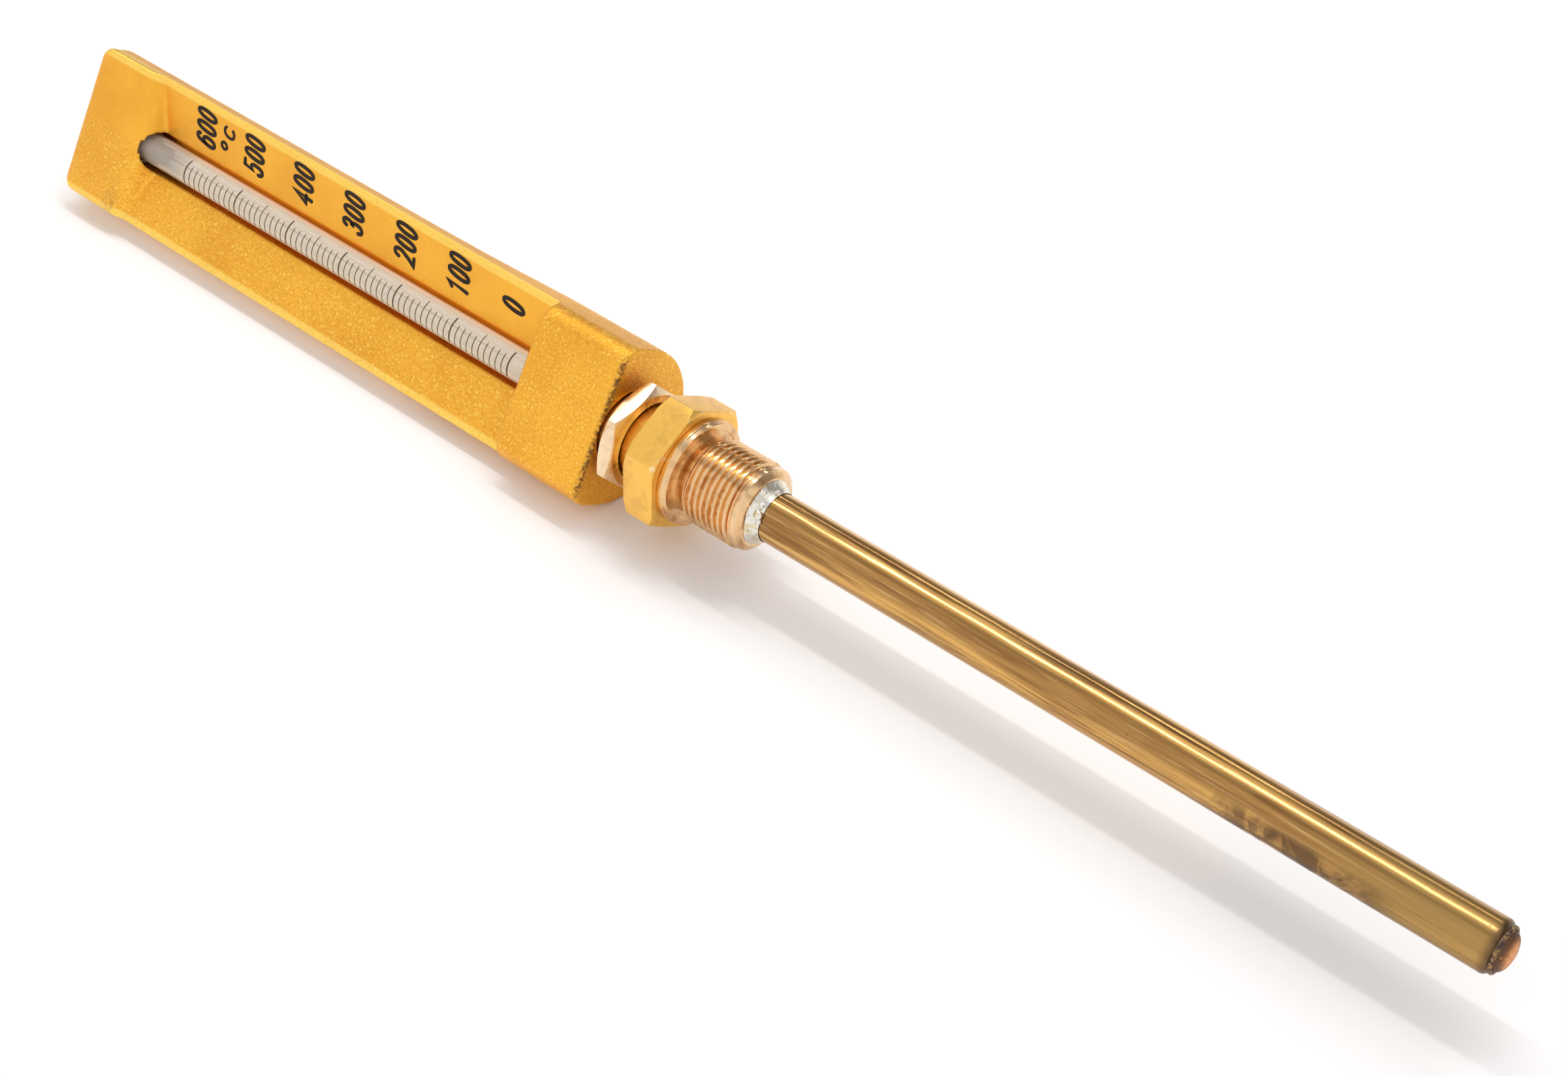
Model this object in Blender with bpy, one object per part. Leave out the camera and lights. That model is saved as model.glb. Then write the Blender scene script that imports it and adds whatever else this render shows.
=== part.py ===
"""Oven thermometer: a gold anodised cast casing on a brass connector with a long immersion tube.

Lengths are in metres. +X runs along the common axis, from the head of the casing to the tip of the tube, and
x = 0 is the sealing face under the connector's collar. The casing group hangs from one empty that is turned
about X: inside it, +Z is the front of the casing and +Y the side that carries the numbers.
"""

import math

import bmesh
import bpy
from mathutils import Matrix, Vector

MM = 0.001
GAP = 0.3 * MM  # clearance between pieces that touch on the real object

# Casing: outside
CASING_ROLL = math.radians(60)
CASING_LENGTH = 150 * MM
CASING_WIDTH = 31 * MM
CASING_END_X = -18.8 * MM
HEAD_LENGTH = 14 * MM
HEAD_FRONT = 5.5 * MM
BOSS_LENGTH = 20.5 * MM
BOSS_FRONT = 8 * MM
BOSS_CORNER_R = 4 * MM
HEAD_CORNER_R = 1 * MM
END_CORNER_R = 2.8 * MM
SIDE_FOOT = 1 * MM  # height at which the side wall turns into the sloping back
KEEL_WALL = 2.1 * MM
BACK_SLOPE = 0.323
SWELL_LENGTH = 36 * MM  # over which the back grows round, above the boss

# Casing: the trough that holds the glass
RIM_FRONT = 3.8 * MM
RIM_LAND = 1.2 * MM
LIP_FRONT = 0.6 * MM
END_WALL_ANGLE = math.radians(62)
END_WALL_ROUND = 5 * MM
HEAD_BORE_DEPTH = 10 * MM

# Connector
HEX_ACROSS_FLATS = 22.5 * MM
HEX_LENGTH = 6.9 * MM
HEX_ROLL = math.radians(90)
COLLAR_R = 10.2 * MM
COLLAR_LENGTH = 2 * MM
COLLAR_RECESS = 0.3 * MM  # keeps the sealing face clear of the thread
GROOVE_LENGTH = 1.6 * MM
THREAD_R = 8.33 * MM
THREAD_DEPTH = 0.86 * MM
THREAD_PITCH = 1.337 * MM
THREAD_LENGTH = 11.6 * MM
THREAD_END_CHAMFER = 1.6 * MM
NECK_ABOVE_CASING_END = 11 * MM
NECK_WALL = 2 * MM
THROAT_LENGTH = 7 * MM

# Lock nut
NUT_LENGTH = 3.5 * MM
NUT_TO_CASING = 1.9 * MM
NUT_ROLL = math.radians(73.3)

# Immersion tube and its tip
IMMERSION_LENGTH = 161.6 * MM
TUBE_R = 4.7 * MM
TUBE_WALL = 0.9 * MM
TUBE_SHOULDER_R = 1.2 * MM
TIP_DOME_LENGTH = 1.5 * MM
PLUG_DEPTH = 1.4 * MM
BRAZE_RING_LENGTH = 0.6 * MM
FILLET_LENGTH = 2.4 * MM
FILLET_BEAD_R = 0.9 * MM

# Glass
GLASS_R = 3.15 * MM
GLASS_TOP_ROUND = 0.8 * MM
STEM_R = 1.9 * MM
BULB_LENGTH = 15 * MM
BULB_WALL = 0.5 * MM
CAPILLARY_R = 0.6 * MM
CAPILLARY_ABOVE_SCALE = 12 * MM
COLUMN_R = 0.3 * MM
ZERO_ABOVE_BOSS = 6.5 * MM
FULL_BELOW_HEAD = 11.9 * MM
ROOM_TEMPERATURE = 20
FULL_SCALE = 600
ENAMEL_WIDTH = 2.6 * MM
ENAMEL_DEPTH = 0.7 * MM

# Soft rings and cushions
TOP_CUSHION_LENGTH = 2.7 * MM
RING_LENGTH = 2.5 * MM
SEAL_LENGTH = 1.2 * MM
SEAT_LENGTH = 3 * MM
BULB_CUSHION_LENGTH = 2 * MM
SPACER_LENGTH = 8 * MM
FILL_ABOVE_BULB = 20 * MM
PACKING_RINGS = 3

# Worked out: cross sections, from the glass outwards
GLASS_BORE_R = GLASS_R + 1.05 * MM
LIP_HALF = GLASS_BORE_R + 0.2 * MM
NECK_BORE_R = GLASS_R + 1.85 * MM
NECK_R = NECK_BORE_R + NECK_WALL
NECK_HOLE_R = NECK_R + GAP
NUT_ACROSS_FLATS = 2 * NECK_R + 5 * MM
RING_R = GLASS_BORE_R - GAP
THROAT_R = STEM_R + 0.7 * MM
STEM_HOLE_R = STEM_R + GAP
TUBE_SOCKET_R = TUBE_R + GAP
TUBE_BORE_R = TUBE_R - TUBE_WALL
FILLET_R = TUBE_SOCKET_R + 1.4 * MM
FILL_R = TUBE_BORE_R - GAP
PLUG_R = TUBE_BORE_R - GAP
BULB_R = FILL_R - 0.9 * MM

# Worked out: places along the axis
HALF_WIDTH = CASING_WIDTH / 2
CASING_TOP_X = CASING_END_X - CASING_LENGTH
BOSS_TOP_X = CASING_END_X - BOSS_LENGTH
HEAD_FACE_END_X = CASING_TOP_X + HEAD_LENGTH
HEX_TOP_X = -COLLAR_LENGTH - HEX_LENGTH
CONNECTOR_END_X = GROOVE_LENGTH + THREAD_LENGTH + THREAD_END_CHAMFER
NECK_TOP_X = CASING_END_X - NECK_ABOVE_CASING_END
SHOULDER_X = NECK_TOP_X - SEAL_LENGTH - 2 * GAP
THROAT_TOP_X = -THROAT_LENGTH + GROOVE_LENGTH
TUBE_START_X = GROOVE_LENGTH + GAP
TUBE_END_X = IMMERSION_LENGTH - TIP_DOME_LENGTH - BRAZE_RING_LENGTH
PLUG_TOP_X = TUBE_END_X - PLUG_DEPTH
BULB_END_X = PLUG_TOP_X - BULB_CUSHION_LENGTH - 2 * GAP
BULB_TOP_X = BULB_END_X - BULB_LENGTH
HEAD_WALL_X = HEAD_FACE_END_X + END_WALL_ROUND * math.sin(END_WALL_ANGLE)
HEAD_BORE_END_X = HEAD_WALL_X - HEAD_BORE_DEPTH
ROD_TOP_X = HEAD_BORE_END_X + TOP_CUSHION_LENGTH + 2 * GAP
ROD_END_X = THROAT_TOP_X - SEAT_LENGTH - 2 * GAP
ZERO_MARK_X = BOSS_TOP_X - ZERO_ABOVE_BOSS
FULL_MARK_X = HEAD_WALL_X + FULL_BELOW_HEAD
DEGREE = (ZERO_MARK_X - FULL_MARK_X) / FULL_SCALE
COLUMN_TOP_X = ZERO_MARK_X - ROOM_TEMPERATURE * DEGREE
CAPILLARY_TOP_X = FULL_MARK_X - CAPILLARY_ABOVE_SCALE

ROUND_STEPS = 40
SMALL_STEPS = 20
ARC_STEPS = 5
BACK_STEPS = 26


def clear_scene():
    for item in list(bpy.data.objects):
        bpy.data.objects.remove(item)


def material(name, colour, roughness, metallic, transmission=0.0):
    mat = bpy.data.materials.new(name)
    mat.use_nodes = True
    shader = mat.node_tree.nodes["Principled BSDF"]
    shader.inputs["Base Color"].default_value = (*colour, 1)
    shader.inputs["Roughness"].default_value = roughness
    shader.inputs["Metallic"].default_value = metallic
    shader.inputs["Transmission Weight"].default_value = transmission
    return mat


def add_object(name, mesh, mat, parent=None):
    item = bpy.data.objects.new(name, mesh)
    bpy.context.collection.objects.link(item)
    if mat:
        mesh.materials.append(mat)
    item.parent = parent
    return item


def mesh_from(name, points, faces):
    mesh = bpy.data.meshes.new(name)
    mesh.from_pydata([tuple(p) for p in points], [], faces)
    work = bmesh.new()
    work.from_mesh(mesh)
    bmesh.ops.recalc_face_normals(work, faces=work.faces)
    work.to_mesh(mesh)
    work.free()
    mesh.shade_smooth()
    mesh.set_sharp_from_angle(angle=math.radians(35))
    return mesh


def arc(centre, radius, start, end, steps=ARC_STEPS):
    """Points of an arc, from the start angle to the end angle in degrees, both included."""
    turns = [math.radians(start + (end - start) * i / steps) for i in range(steps + 1)]
    return [(centre[0] + radius * math.cos(a), centre[1] + radius * math.sin(a)) for a in turns]


def turned_mesh(name, outline, steps=ROUND_STEPS):
    """A body turned about X from a closed outline of (x, radius) points; a radius of 0 lies on the axis."""
    points, rings = [], []
    for x, radius in outline:
        if radius == 0:
            rings.append([len(points)] * steps)
            points.append(Vector((x, 0, 0)))
            continue
        rings.append(list(range(len(points), len(points) + steps)))
        for j in range(steps):
            turn = 2 * math.pi * j / steps
            points.append(Vector((x, radius * math.cos(turn), radius * math.sin(turn))))
    faces = []
    for ring, after in zip(rings, rings[1:] + rings[:1]):
        for j in range(steps):
            k = (j + 1) % steps
            corners = list(dict.fromkeys((ring[j], ring[k], after[k], after[j])))
            if len(corners) > 2:
                faces.append(corners)
    return mesh_from(name, points, faces)


def turned(name, outline, mat, parent=None, steps=ROUND_STEPS):
    return add_object(name, turned_mesh(name, outline, steps), mat, parent)


def ring(name, start, length, inner, outer, mat, parent=None, steps=ROUND_STEPS):
    end = start + length
    return turned(name, [(start, inner), (start, outer), (end, outer), (end, inner)], mat, parent, steps)


def lofted_mesh(name, sections):
    """A body through closed rings of (x, y, z) points, all with the same number of points, capped at both ends."""
    count = len(sections[0])
    points = [p for section in sections for p in section]
    faces = [list(range(count)), list(range(len(points) - count, len(points)))]
    for i in range(len(sections) - 1):
        for j in range(count):
            k = (j + 1) % count
            faces.append([i * count + j, i * count + k, (i + 1) * count + k, (i + 1) * count + j])
    return mesh_from(name, points, faces)


def combine(target, tool, operation):
    """Boolean that leaves the tool in the file as a guide that isn't built."""
    cut = target.modifiers.new(tool.name, "BOOLEAN")
    cut.operation = operation
    cut.object = tool
    cut.solver = "EXACT"
    tool.hide_render = True
    tool.display_type = "WIRE"


def prism(name, outline, place, depth, parent=None):
    """Straight prism: place(a, b, c) gives the point of outline point (a, b) at the depth c."""
    sections = [[place(a, b, c) for a, b in outline] for c in (-depth / 2, depth / 2)]
    return add_object(name, lofted_mesh(name, sections), None, parent)


# Casing


def back_height(across, roundness):
    """Height of the casing's back at a distance across it, from a V with a keel (0) to the round boss (1)."""
    keel_r = GLASS_BORE_R + KEEL_WALL
    slope = SIDE_FOOT - BACK_SLOPE * (HALF_WIDTH - abs(across))
    keel = -math.sqrt(max(keel_r**2 - across**2, 0))
    round_back = -math.sqrt(max(HALF_WIDTH**2 - across**2, 0))
    return (1 - roundness) * min(slope, keel) + roundness * round_back


def casing_section(x, front, corner, roundness, inset=0.0):
    """One ring of the casing's outside, as points at x: front with rounded corners, sides and back."""
    half = HALF_WIDTH - inset
    top = front - inset / 3
    left = arc((-half + corner, top - corner), corner, 180, 90)
    right = arc((half - corner, top - corner), corner, 90, 0)
    back = []
    for i in range(BACK_STEPS + 1):
        across = math.cos(math.pi * i / BACK_STEPS)
        back.append((across * half, back_height(across * HALF_WIDTH, roundness) + inset / 2))
    return [Vector((x, y, z)) for y, z in left + right + back]


def channel_sections():
    """Head and channel: a rounded end, a straight run and the swell towards the boss."""
    rows = []
    for i in range(ARC_STEPS + 1):
        turn = math.radians(90 * i / ARC_STEPS)
        x = CASING_TOP_X + END_CORNER_R * (1 - math.cos(turn))
        rows.append((x, HEAD_CORNER_R, 0.0, END_CORNER_R * (1 - math.sin(turn))))
    swell_start = BOSS_TOP_X - SWELL_LENGTH
    steps = 7
    for i in range(steps + 1):
        share = i / steps
        rows.append((swell_start + share * SWELL_LENGTH, HEAD_CORNER_R, share**2 * (3 - 2 * share), 0.0))
    rows.append((BOSS_TOP_X + BOSS_LENGTH / 2, HEAD_CORNER_R, 1.0, 0.0))
    return [casing_section(x, HEAD_FRONT, corner, roundness, inset) for x, corner, roundness, inset in rows]


def trough_cutter(parent):
    """The open trough: rims, sloping faces and floor, ended by a steep wall with a large rounded edge."""
    above = 3 * BOSS_FRONT
    beside = CASING_WIDTH
    across = [
        (-beside, above),
        (-beside, RIM_FRONT),
        (-HALF_WIDTH + RIM_LAND, RIM_FRONT),
        (-LIP_HALF, LIP_FRONT),
        (LIP_HALF, LIP_FRONT),
        (HALF_WIDTH - RIM_LAND, RIM_FRONT),
        (beside, RIM_FRONT),
        (beside, above),
    ]
    middle = (HEAD_FACE_END_X + BOSS_TOP_X) / 2
    trough = prism("trough_cutter", across, lambda a, b, c: Vector((middle + c, a, b)), CASING_LENGTH, parent)
    lean = math.degrees(END_WALL_ANGLE)
    edge = arc((HEAD_FACE_END_X, HEAD_FRONT - END_WALL_ROUND), END_WALL_ROUND, 90, 90 - lean)
    drop = edge[-1][1] + GLASS_BORE_R
    foot = (edge[-1][0] + drop / math.tan(END_WALL_ANGLE), edge[-1][1] - drop)
    along = [(HEAD_FACE_END_X, above), *edge, foot, (BOSS_TOP_X, foot[1]), (BOSS_TOP_X, above)]
    limit = prism("trough_limit", along, lambda a, b, c: Vector((a, c, b)), 3 * CASING_WIDTH, parent)
    combine(trough, limit, "INTERSECT")
    return trough


def casing(mat, parent):
    body = add_object("casing", lofted_mesh("casing", channel_sections()), mat, parent)
    ends = (BOSS_TOP_X, CASING_END_X)
    boss_rings = [casing_section(x, BOSS_FRONT, BOSS_CORNER_R, 1.0) for x in ends]
    boss = add_object("boss", lofted_mesh("boss", boss_rings), None, parent)
    combine(body, trough_cutter(parent), "DIFFERENCE")
    combine(body, boss, "UNION")
    past_end = CASING_END_X + 5 * MM
    bores = [
        (HEAD_BORE_END_X, 0),
        (HEAD_BORE_END_X, GLASS_BORE_R),
        (SHOULDER_X, GLASS_BORE_R),
        (SHOULDER_X, NECK_HOLE_R),
        (past_end, NECK_HOLE_R),
        (past_end, 0),
    ]
    combine(body, turned("casing_bores", bores, None, parent), "DIFFERENCE")
    return body


# Connector and lock nut


def hexagon(name, start, length, across_flats, roll, chamfer_r, mat=None):
    """Hexagonal prism along X whose corners are turned down at both ends to chamfer_r."""
    corner_r = across_flats / math.sqrt(3)
    sections = []
    for x in (start, start + length):
        turns = [roll + math.radians(60 * k) for k in range(6)]
        sections.append([Vector((x, corner_r * math.cos(a), corner_r * math.sin(a))) for a in turns])
    body = add_object(name, lofted_mesh(name, sections), mat)
    rise = (corner_r - chamfer_r) * math.tan(math.radians(30))
    end = start + length
    beyond = corner_r * 1.1
    lens = [
        (start, 0),
        (start, chamfer_r),
        (start + rise, corner_r),
        (start + rise, beyond),
        (end - rise, beyond),
        (end - rise, corner_r),
        (end, chamfer_r),
        (end, 0),
    ]
    combine(body, turned(f"{name}_chamfer", lens, None), "INTERSECT")
    return body


def thread_mesh(name):
    """The process thread as one closed body: rings whose radius follows a helical ridge, fading at both ends."""
    rows_per_pitch = 6
    rows = round(THREAD_LENGTH / THREAD_PITCH * rows_per_pitch)
    root = THREAD_R - THREAD_DEPTH
    sections = []
    for i in range(rows + 1):
        x = GROOVE_LENGTH + THREAD_LENGTH * i / rows
        fade = min(1, (x - GROOVE_LENGTH) / THREAD_PITCH, (CONNECTOR_END_X - THREAD_END_CHAMFER - x) / THREAD_PITCH)
        row = []
        for j in range(ROUND_STEPS):
            turn = 2 * math.pi * j / ROUND_STEPS
            phase = (x / THREAD_PITCH - j / ROUND_STEPS) % 1
            ridge = 1 - abs(2 * phase - 1)
            radius = root + THREAD_DEPTH * min(1.2 * ridge, 1) * fade
            row.append(Vector((x, radius * math.cos(turn), radius * math.sin(turn))))
        sections.append(row)
    return lofted_mesh(name, sections)


def connector(mat):
    groove_r = THREAD_R - THREAD_DEPTH
    end_r = groove_r - THREAD_END_CHAMFER / 2
    outline = [
        (NECK_TOP_X, 0),
        (NECK_TOP_X, NECK_R - GAP),
        (NECK_TOP_X + GAP, NECK_R),
        (HEX_TOP_X + GAP, NECK_R),
        (HEX_TOP_X + GAP, COLLAR_R),
        (0, COLLAR_R),
        (0, THREAD_R + GAP),
        (-COLLAR_RECESS, THREAD_R + GAP),
        (-COLLAR_RECESS, groove_r),
        (CONNECTOR_END_X - THREAD_END_CHAMFER, groove_r),
        (CONNECTOR_END_X, end_r),
        (CONNECTOR_END_X, 0),
    ]
    body = turned("connector", outline, mat)
    flats = HEX_ACROSS_FLATS / 2 * 1.04
    combine(body, hexagon("connector_hex", HEX_TOP_X, HEX_LENGTH, HEX_ACROSS_FLATS, HEX_ROLL, flats), "UNION")
    combine(body, add_object("connector_thread", thread_mesh("connector_thread"), None), "UNION")
    beyond = 5 * MM
    bore = [
        (NECK_TOP_X - beyond, 0),
        (NECK_TOP_X - beyond, NECK_BORE_R),
        (THROAT_TOP_X, NECK_BORE_R),
        (THROAT_TOP_X, THROAT_R),
        (GROOVE_LENGTH, THROAT_R),
        (GROOVE_LENGTH, TUBE_SOCKET_R),
        (CONNECTOR_END_X + beyond, TUBE_SOCKET_R),
        (CONNECTOR_END_X + beyond, 0),
    ]
    combine(body, turned("connector_bore", bore, None), "DIFFERENCE")
    return body


def lock_nut(mat):
    start = CASING_END_X + NUT_TO_CASING
    body = hexagon("lock_nut", start, NUT_LENGTH, NUT_ACROSS_FLATS, NUT_ROLL, NUT_ACROSS_FLATS / 2 * 0.98, mat)
    beyond = 2 * MM
    hole = [
        (start - beyond, 0),
        (start - beyond, NECK_HOLE_R),
        (start + NUT_LENGTH + beyond, NECK_HOLE_R),
        (start + NUT_LENGTH + beyond, 0),
    ]
    combine(body, turned("lock_nut_hole", hole, None), "DIFFERENCE")
    return body


# Immersion tube


def immersion_tube(mat):
    shoulder = arc((TUBE_END_X - TUBE_SHOULDER_R, TUBE_R - TUBE_SHOULDER_R), TUBE_SHOULDER_R, 90, 42)
    outline = [(TUBE_START_X, TUBE_BORE_R), (TUBE_START_X, TUBE_R), *shoulder]
    outline += [(TUBE_END_X, TUBE_BORE_R + GAP), (TUBE_END_X, TUBE_BORE_R)]
    turned("immersion_tube", outline, mat)


def tip(plug_mat, braze_mat):
    """Braze ring round the plug, then the plug with its domed end."""
    ring("tip_braze", TUBE_END_X + GAP, BRAZE_RING_LENGTH - GAP / 2, PLUG_R + GAP, TUBE_BORE_R + 2 * GAP, braze_mat)
    dome_start = IMMERSION_LENGTH - TIP_DOME_LENGTH
    outline = [(PLUG_TOP_X, 0), (PLUG_TOP_X, PLUG_R)]
    for i in range(ARC_STEPS):
        turn = math.radians(90 * i / ARC_STEPS)
        outline.append((dome_start + TIP_DOME_LENGTH * math.sin(turn), PLUG_R * math.cos(turn)))
    outline.append((IMMERSION_LENGTH, 0))
    turned("tip_plug", outline, plug_mat)


def solder_fillet(mat):
    """Cone of solder round the tube at the connector's end, with the bead that ran out of the joint."""
    start = CONNECTOR_END_X + GAP
    inner = TUBE_R + GAP
    outline = [
        (start, inner),
        (start, FILLET_R),
        (start + FILLET_LENGTH * 0.3, inner + (FILLET_R - inner) * 0.55),
        (start + FILLET_LENGTH, inner + GAP),
        (start + FILLET_LENGTH, inner),
    ]
    body = turned("solder_fillet", outline, mat)
    work = bmesh.new()
    side = inner + GAP + FILLET_BEAD_R / 2
    turn = math.radians(-145)
    place = Matrix.Translation((start + FILLET_LENGTH * 0.75, side * math.cos(turn), -side * math.sin(turn)))
    bmesh.ops.create_icosphere(work, subdivisions=2, radius=FILLET_BEAD_R, matrix=place)
    mesh = bpy.data.meshes.new("solder_bead")
    work.to_mesh(mesh)
    work.free()
    combine(body, add_object("solder_bead", mesh, None), "UNION")
    keep_out = [(start - GLASS_R, 0), (start - GLASS_R, inner), (start + 3 * FILLET_LENGTH, inner)]
    keep_out.append((start + 3 * FILLET_LENGTH, 0))
    combine(body, turned("solder_keep_out", keep_out, None), "DIFFERENCE")


# Glass and mercury


def glass_rod(mat, parent):
    """Solid-stem scale glass with its capillary, open at the lower end, and a groove for the enamel behind it."""
    top = arc((ROD_TOP_X + GLASS_TOP_ROUND, GLASS_R - GLASS_TOP_ROUND), GLASS_TOP_ROUND, 180, 90)
    outline = [(ROD_TOP_X, 0), *top, (ROD_END_X, GLASS_R), (ROD_END_X, CAPILLARY_R)]
    outline += [(CAPILLARY_TOP_X, CAPILLARY_R), (CAPILLARY_TOP_X, 0)]
    rod = turned("glass_rod", outline, mat, parent, SMALL_STEPS * 2)
    start, length = enamel_run()
    half = ENAMEL_WIDTH / 2 + GAP
    floor = -GLASS_R + ENAMEL_DEPTH + GAP
    across = [(-half, -2 * GLASS_R), (half, -2 * GLASS_R), (half, floor), (-half, floor)]
    place = start + length / 2
    groove = prism("enamel_groove", across, lambda a, b, c: Vector((place + c, a, b)), length + 2 * GAP, parent)
    combine(rod, groove, "DIFFERENCE")


def enamel_run():
    """Start and length of the white enamel: the printed scale and a little past both of its ends."""
    past = CAPILLARY_ABOVE_SCALE / 2
    start = FULL_MARK_X - past
    return start, min(ZERO_MARK_X + past, BOSS_TOP_X) - start


def enamel_backing(mat, parent):
    start, length = enamel_run()
    half = ENAMEL_WIDTH / 2
    turn = math.degrees(math.asin(half / GLASS_R))
    outer = arc((0, 0), GLASS_R, -90 - turn, -90 + turn)
    top = -GLASS_R + ENAMEL_DEPTH
    across = [*outer, (half, top), (-half, top)]
    place = start + length / 2
    body = prism("enamel_backing", across, lambda a, b, c: Vector((place + c, a, b)), length, parent)
    body.data.materials.append(mat)


def glass_stem(mat, parent):
    start = ROD_END_X + GAP
    ring("glass_stem", start, BULB_TOP_X - GAP - start, CAPILLARY_R, STEM_R, mat, parent, SMALL_STEPS)


def glass_bulb(mat, parent):
    inner = BULB_R - BULB_WALL
    neck = BULB_TOP_X + BULB_WALL
    outline = [
        (BULB_TOP_X, CAPILLARY_R),
        (BULB_TOP_X, STEM_R),
        (BULB_TOP_X + BULB_WALL * 3, BULB_R),
        (BULB_END_X - BULB_R * 0.6, BULB_R),
        (BULB_END_X, BULB_R * 0.5),
        (BULB_END_X, 0),
        (BULB_END_X - BULB_WALL * 2, 0),
        (BULB_END_X - BULB_R, inner),
        (neck + BULB_WALL * 3, inner),
        (neck + BULB_WALL, CAPILLARY_R),
    ]
    turned("glass_bulb", outline, mat, parent, SMALL_STEPS)


def mercury(mat, parent):
    """The pool that fills the bulb, and the thread of mercury, free to sink to the zero mark above it."""
    outer = BULB_R - BULB_WALL - GAP
    start = BULB_TOP_X + BULB_WALL * 5 + GAP
    end = BULB_END_X - BULB_R - GAP
    column_end = BULB_TOP_X + BULB_WALL - ROOM_TEMPERATURE * DEGREE
    pool = [(start, 0), (start, COLUMN_R), (start + outer, outer), (end, outer), (end, 0)]
    turned("mercury_pool", pool, mat, parent, SMALL_STEPS)
    column = [(COLUMN_TOP_X, 0), (COLUMN_TOP_X, COLUMN_R), (column_end, COLUMN_R), (column_end, 0)]
    turned("mercury_column", column, mat, parent, SMALL_STEPS // 2)


# Rings, seats and filling


def rings_on_glass(mat, parent):
    """What holds the glass in the casing: a cushion above it and a ring at each end of the trough."""
    glass_hole = GLASS_R + GAP
    cushion = [(HEAD_BORE_END_X + GAP, 0), (HEAD_BORE_END_X + GAP, RING_R)]
    cushion_end = HEAD_BORE_END_X + GAP + TOP_CUSHION_LENGTH
    turned("top_cushion", [*cushion, (cushion_end, RING_R), (cushion_end, 0)], mat, parent, SMALL_STEPS)
    ring("top_ring", ROD_TOP_X + GLASS_TOP_ROUND, RING_LENGTH, glass_hole, RING_R, mat, parent, SMALL_STEPS * 2)
    boss_ring_x = SHOULDER_X - GAP - RING_LENGTH
    ring("boss_ring", boss_ring_x, RING_LENGTH, glass_hole, RING_R, mat, parent, SMALL_STEPS * 2)


def packing(mat):
    """What seals the glass in the connector: rings round it, a seat under it and a washer on the neck."""
    outer = NECK_BORE_R - GAP
    for i in range(PACKING_RINGS):
        start = NECK_TOP_X + GAP + i * (RING_LENGTH + GAP)
        ring(f"packing_ring_{i + 1}", start, RING_LENGTH, GLASS_R + GAP, outer, mat, None, SMALL_STEPS * 2)
    ring("rod_seat", ROD_END_X + GAP, SEAT_LENGTH, STEM_HOLE_R, outer, mat, None, SMALL_STEPS)
    ring("neck_seal", SHOULDER_X + GAP, SEAL_LENGTH, NECK_BORE_R + GAP, NECK_R, mat)


def tube_filling(spacer_mat, fill_mat, pad_mat):
    """What fills the immersion tube: a spacer round the glass stem, the heat conducting fill and a bulb pad."""
    ring("stem_spacer", TUBE_START_X + GAP, SPACER_LENGTH, STEM_HOLE_R, FILL_R, spacer_mat, None, SMALL_STEPS)
    hole = BULB_R + GAP
    start = BULB_TOP_X - FILL_ABOVE_BULB
    fill = [
        (start, STEM_HOLE_R),
        (start, FILL_R),
        (BULB_END_X, FILL_R),
        (BULB_END_X, hole),
        (BULB_TOP_X - GAP, hole),
        (BULB_TOP_X - 2 * GAP, STEM_HOLE_R),
    ]
    turned("heat_fill", fill, fill_mat, None, SMALL_STEPS)
    pad_start = BULB_END_X + GAP
    pad_end = pad_start + BULB_CUSHION_LENGTH
    pad = [(pad_start, 0), (pad_start, FILL_R), (pad_end, FILL_R), (pad_end, 0)]
    turned("bulb_cushion", pad, pad_mat, None, SMALL_STEPS)


def main():
    clear_scene()
    gold = material("gold_anodised", (0.86, 0.47, 0.08), 0.42, 1.0)
    brass = material("brass", (0.78, 0.56, 0.27), 0.2, 1.0)
    tube_brass = material("stem_brass", (0.55, 0.37, 0.14), 0.28, 1.0)
    copper = material("copper_plug", (0.72, 0.3, 0.12), 0.4, 1.0)
    silver = material("silver_solder", (0.8, 0.78, 0.74), 0.25, 1.0)
    glass = material("milk_glass", (0.75, 0.74, 0.72), 0.1, 0.0, 0.3)
    clear = material("clear_glass", (0.9, 0.93, 0.93), 0.05, 0.0, 0.9)
    enamel = material("white_enamel", (0.9, 0.9, 0.88), 0.3, 0.0)
    quicksilver = material("mercury", (0.75, 0.75, 0.77), 0.08, 1.0)
    fibre = material("fibre", (0.62, 0.56, 0.46), 0.95, 0.0)
    filings = material("copper_filings", (0.45, 0.3, 0.2), 0.6, 0.8)

    turn = bpy.data.objects.new("casing_turn", None)
    bpy.context.collection.objects.link(turn)
    turn.rotation_euler.x = CASING_ROLL

    casing(gold, turn)
    lock_nut(brass)
    connector(brass)
    immersion_tube(tube_brass)
    tip(copper, filings)
    solder_fillet(silver)
    glass_rod(glass, turn)
    enamel_backing(enamel, turn)
    glass_stem(clear, turn)
    glass_bulb(clear, turn)
    mercury(quicksilver, turn)
    rings_on_glass(fibre, turn)
    packing(fibre)
    tube_filling(fibre, filings, fibre)


main()
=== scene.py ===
"""Looks of an oven thermometer, laid out as an add-on: each operator makes one piece or a group of like pieces.

Lengths are in metres, in the frame of the CAD model: +X runs towards the tip of the immersion tube and x = 0 is the
sealing face under the connector's collar. Pieces of the casing are made with +Z as the front of the casing and +Y as
the side with the numbers, and are then rolled about X as the casing is.
"""

import math

import bmesh
import bpy
from bpy.props import FloatProperty, FloatVectorProperty, IntProperty, PointerProperty
from mathutils import Matrix, Vector, noise


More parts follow.
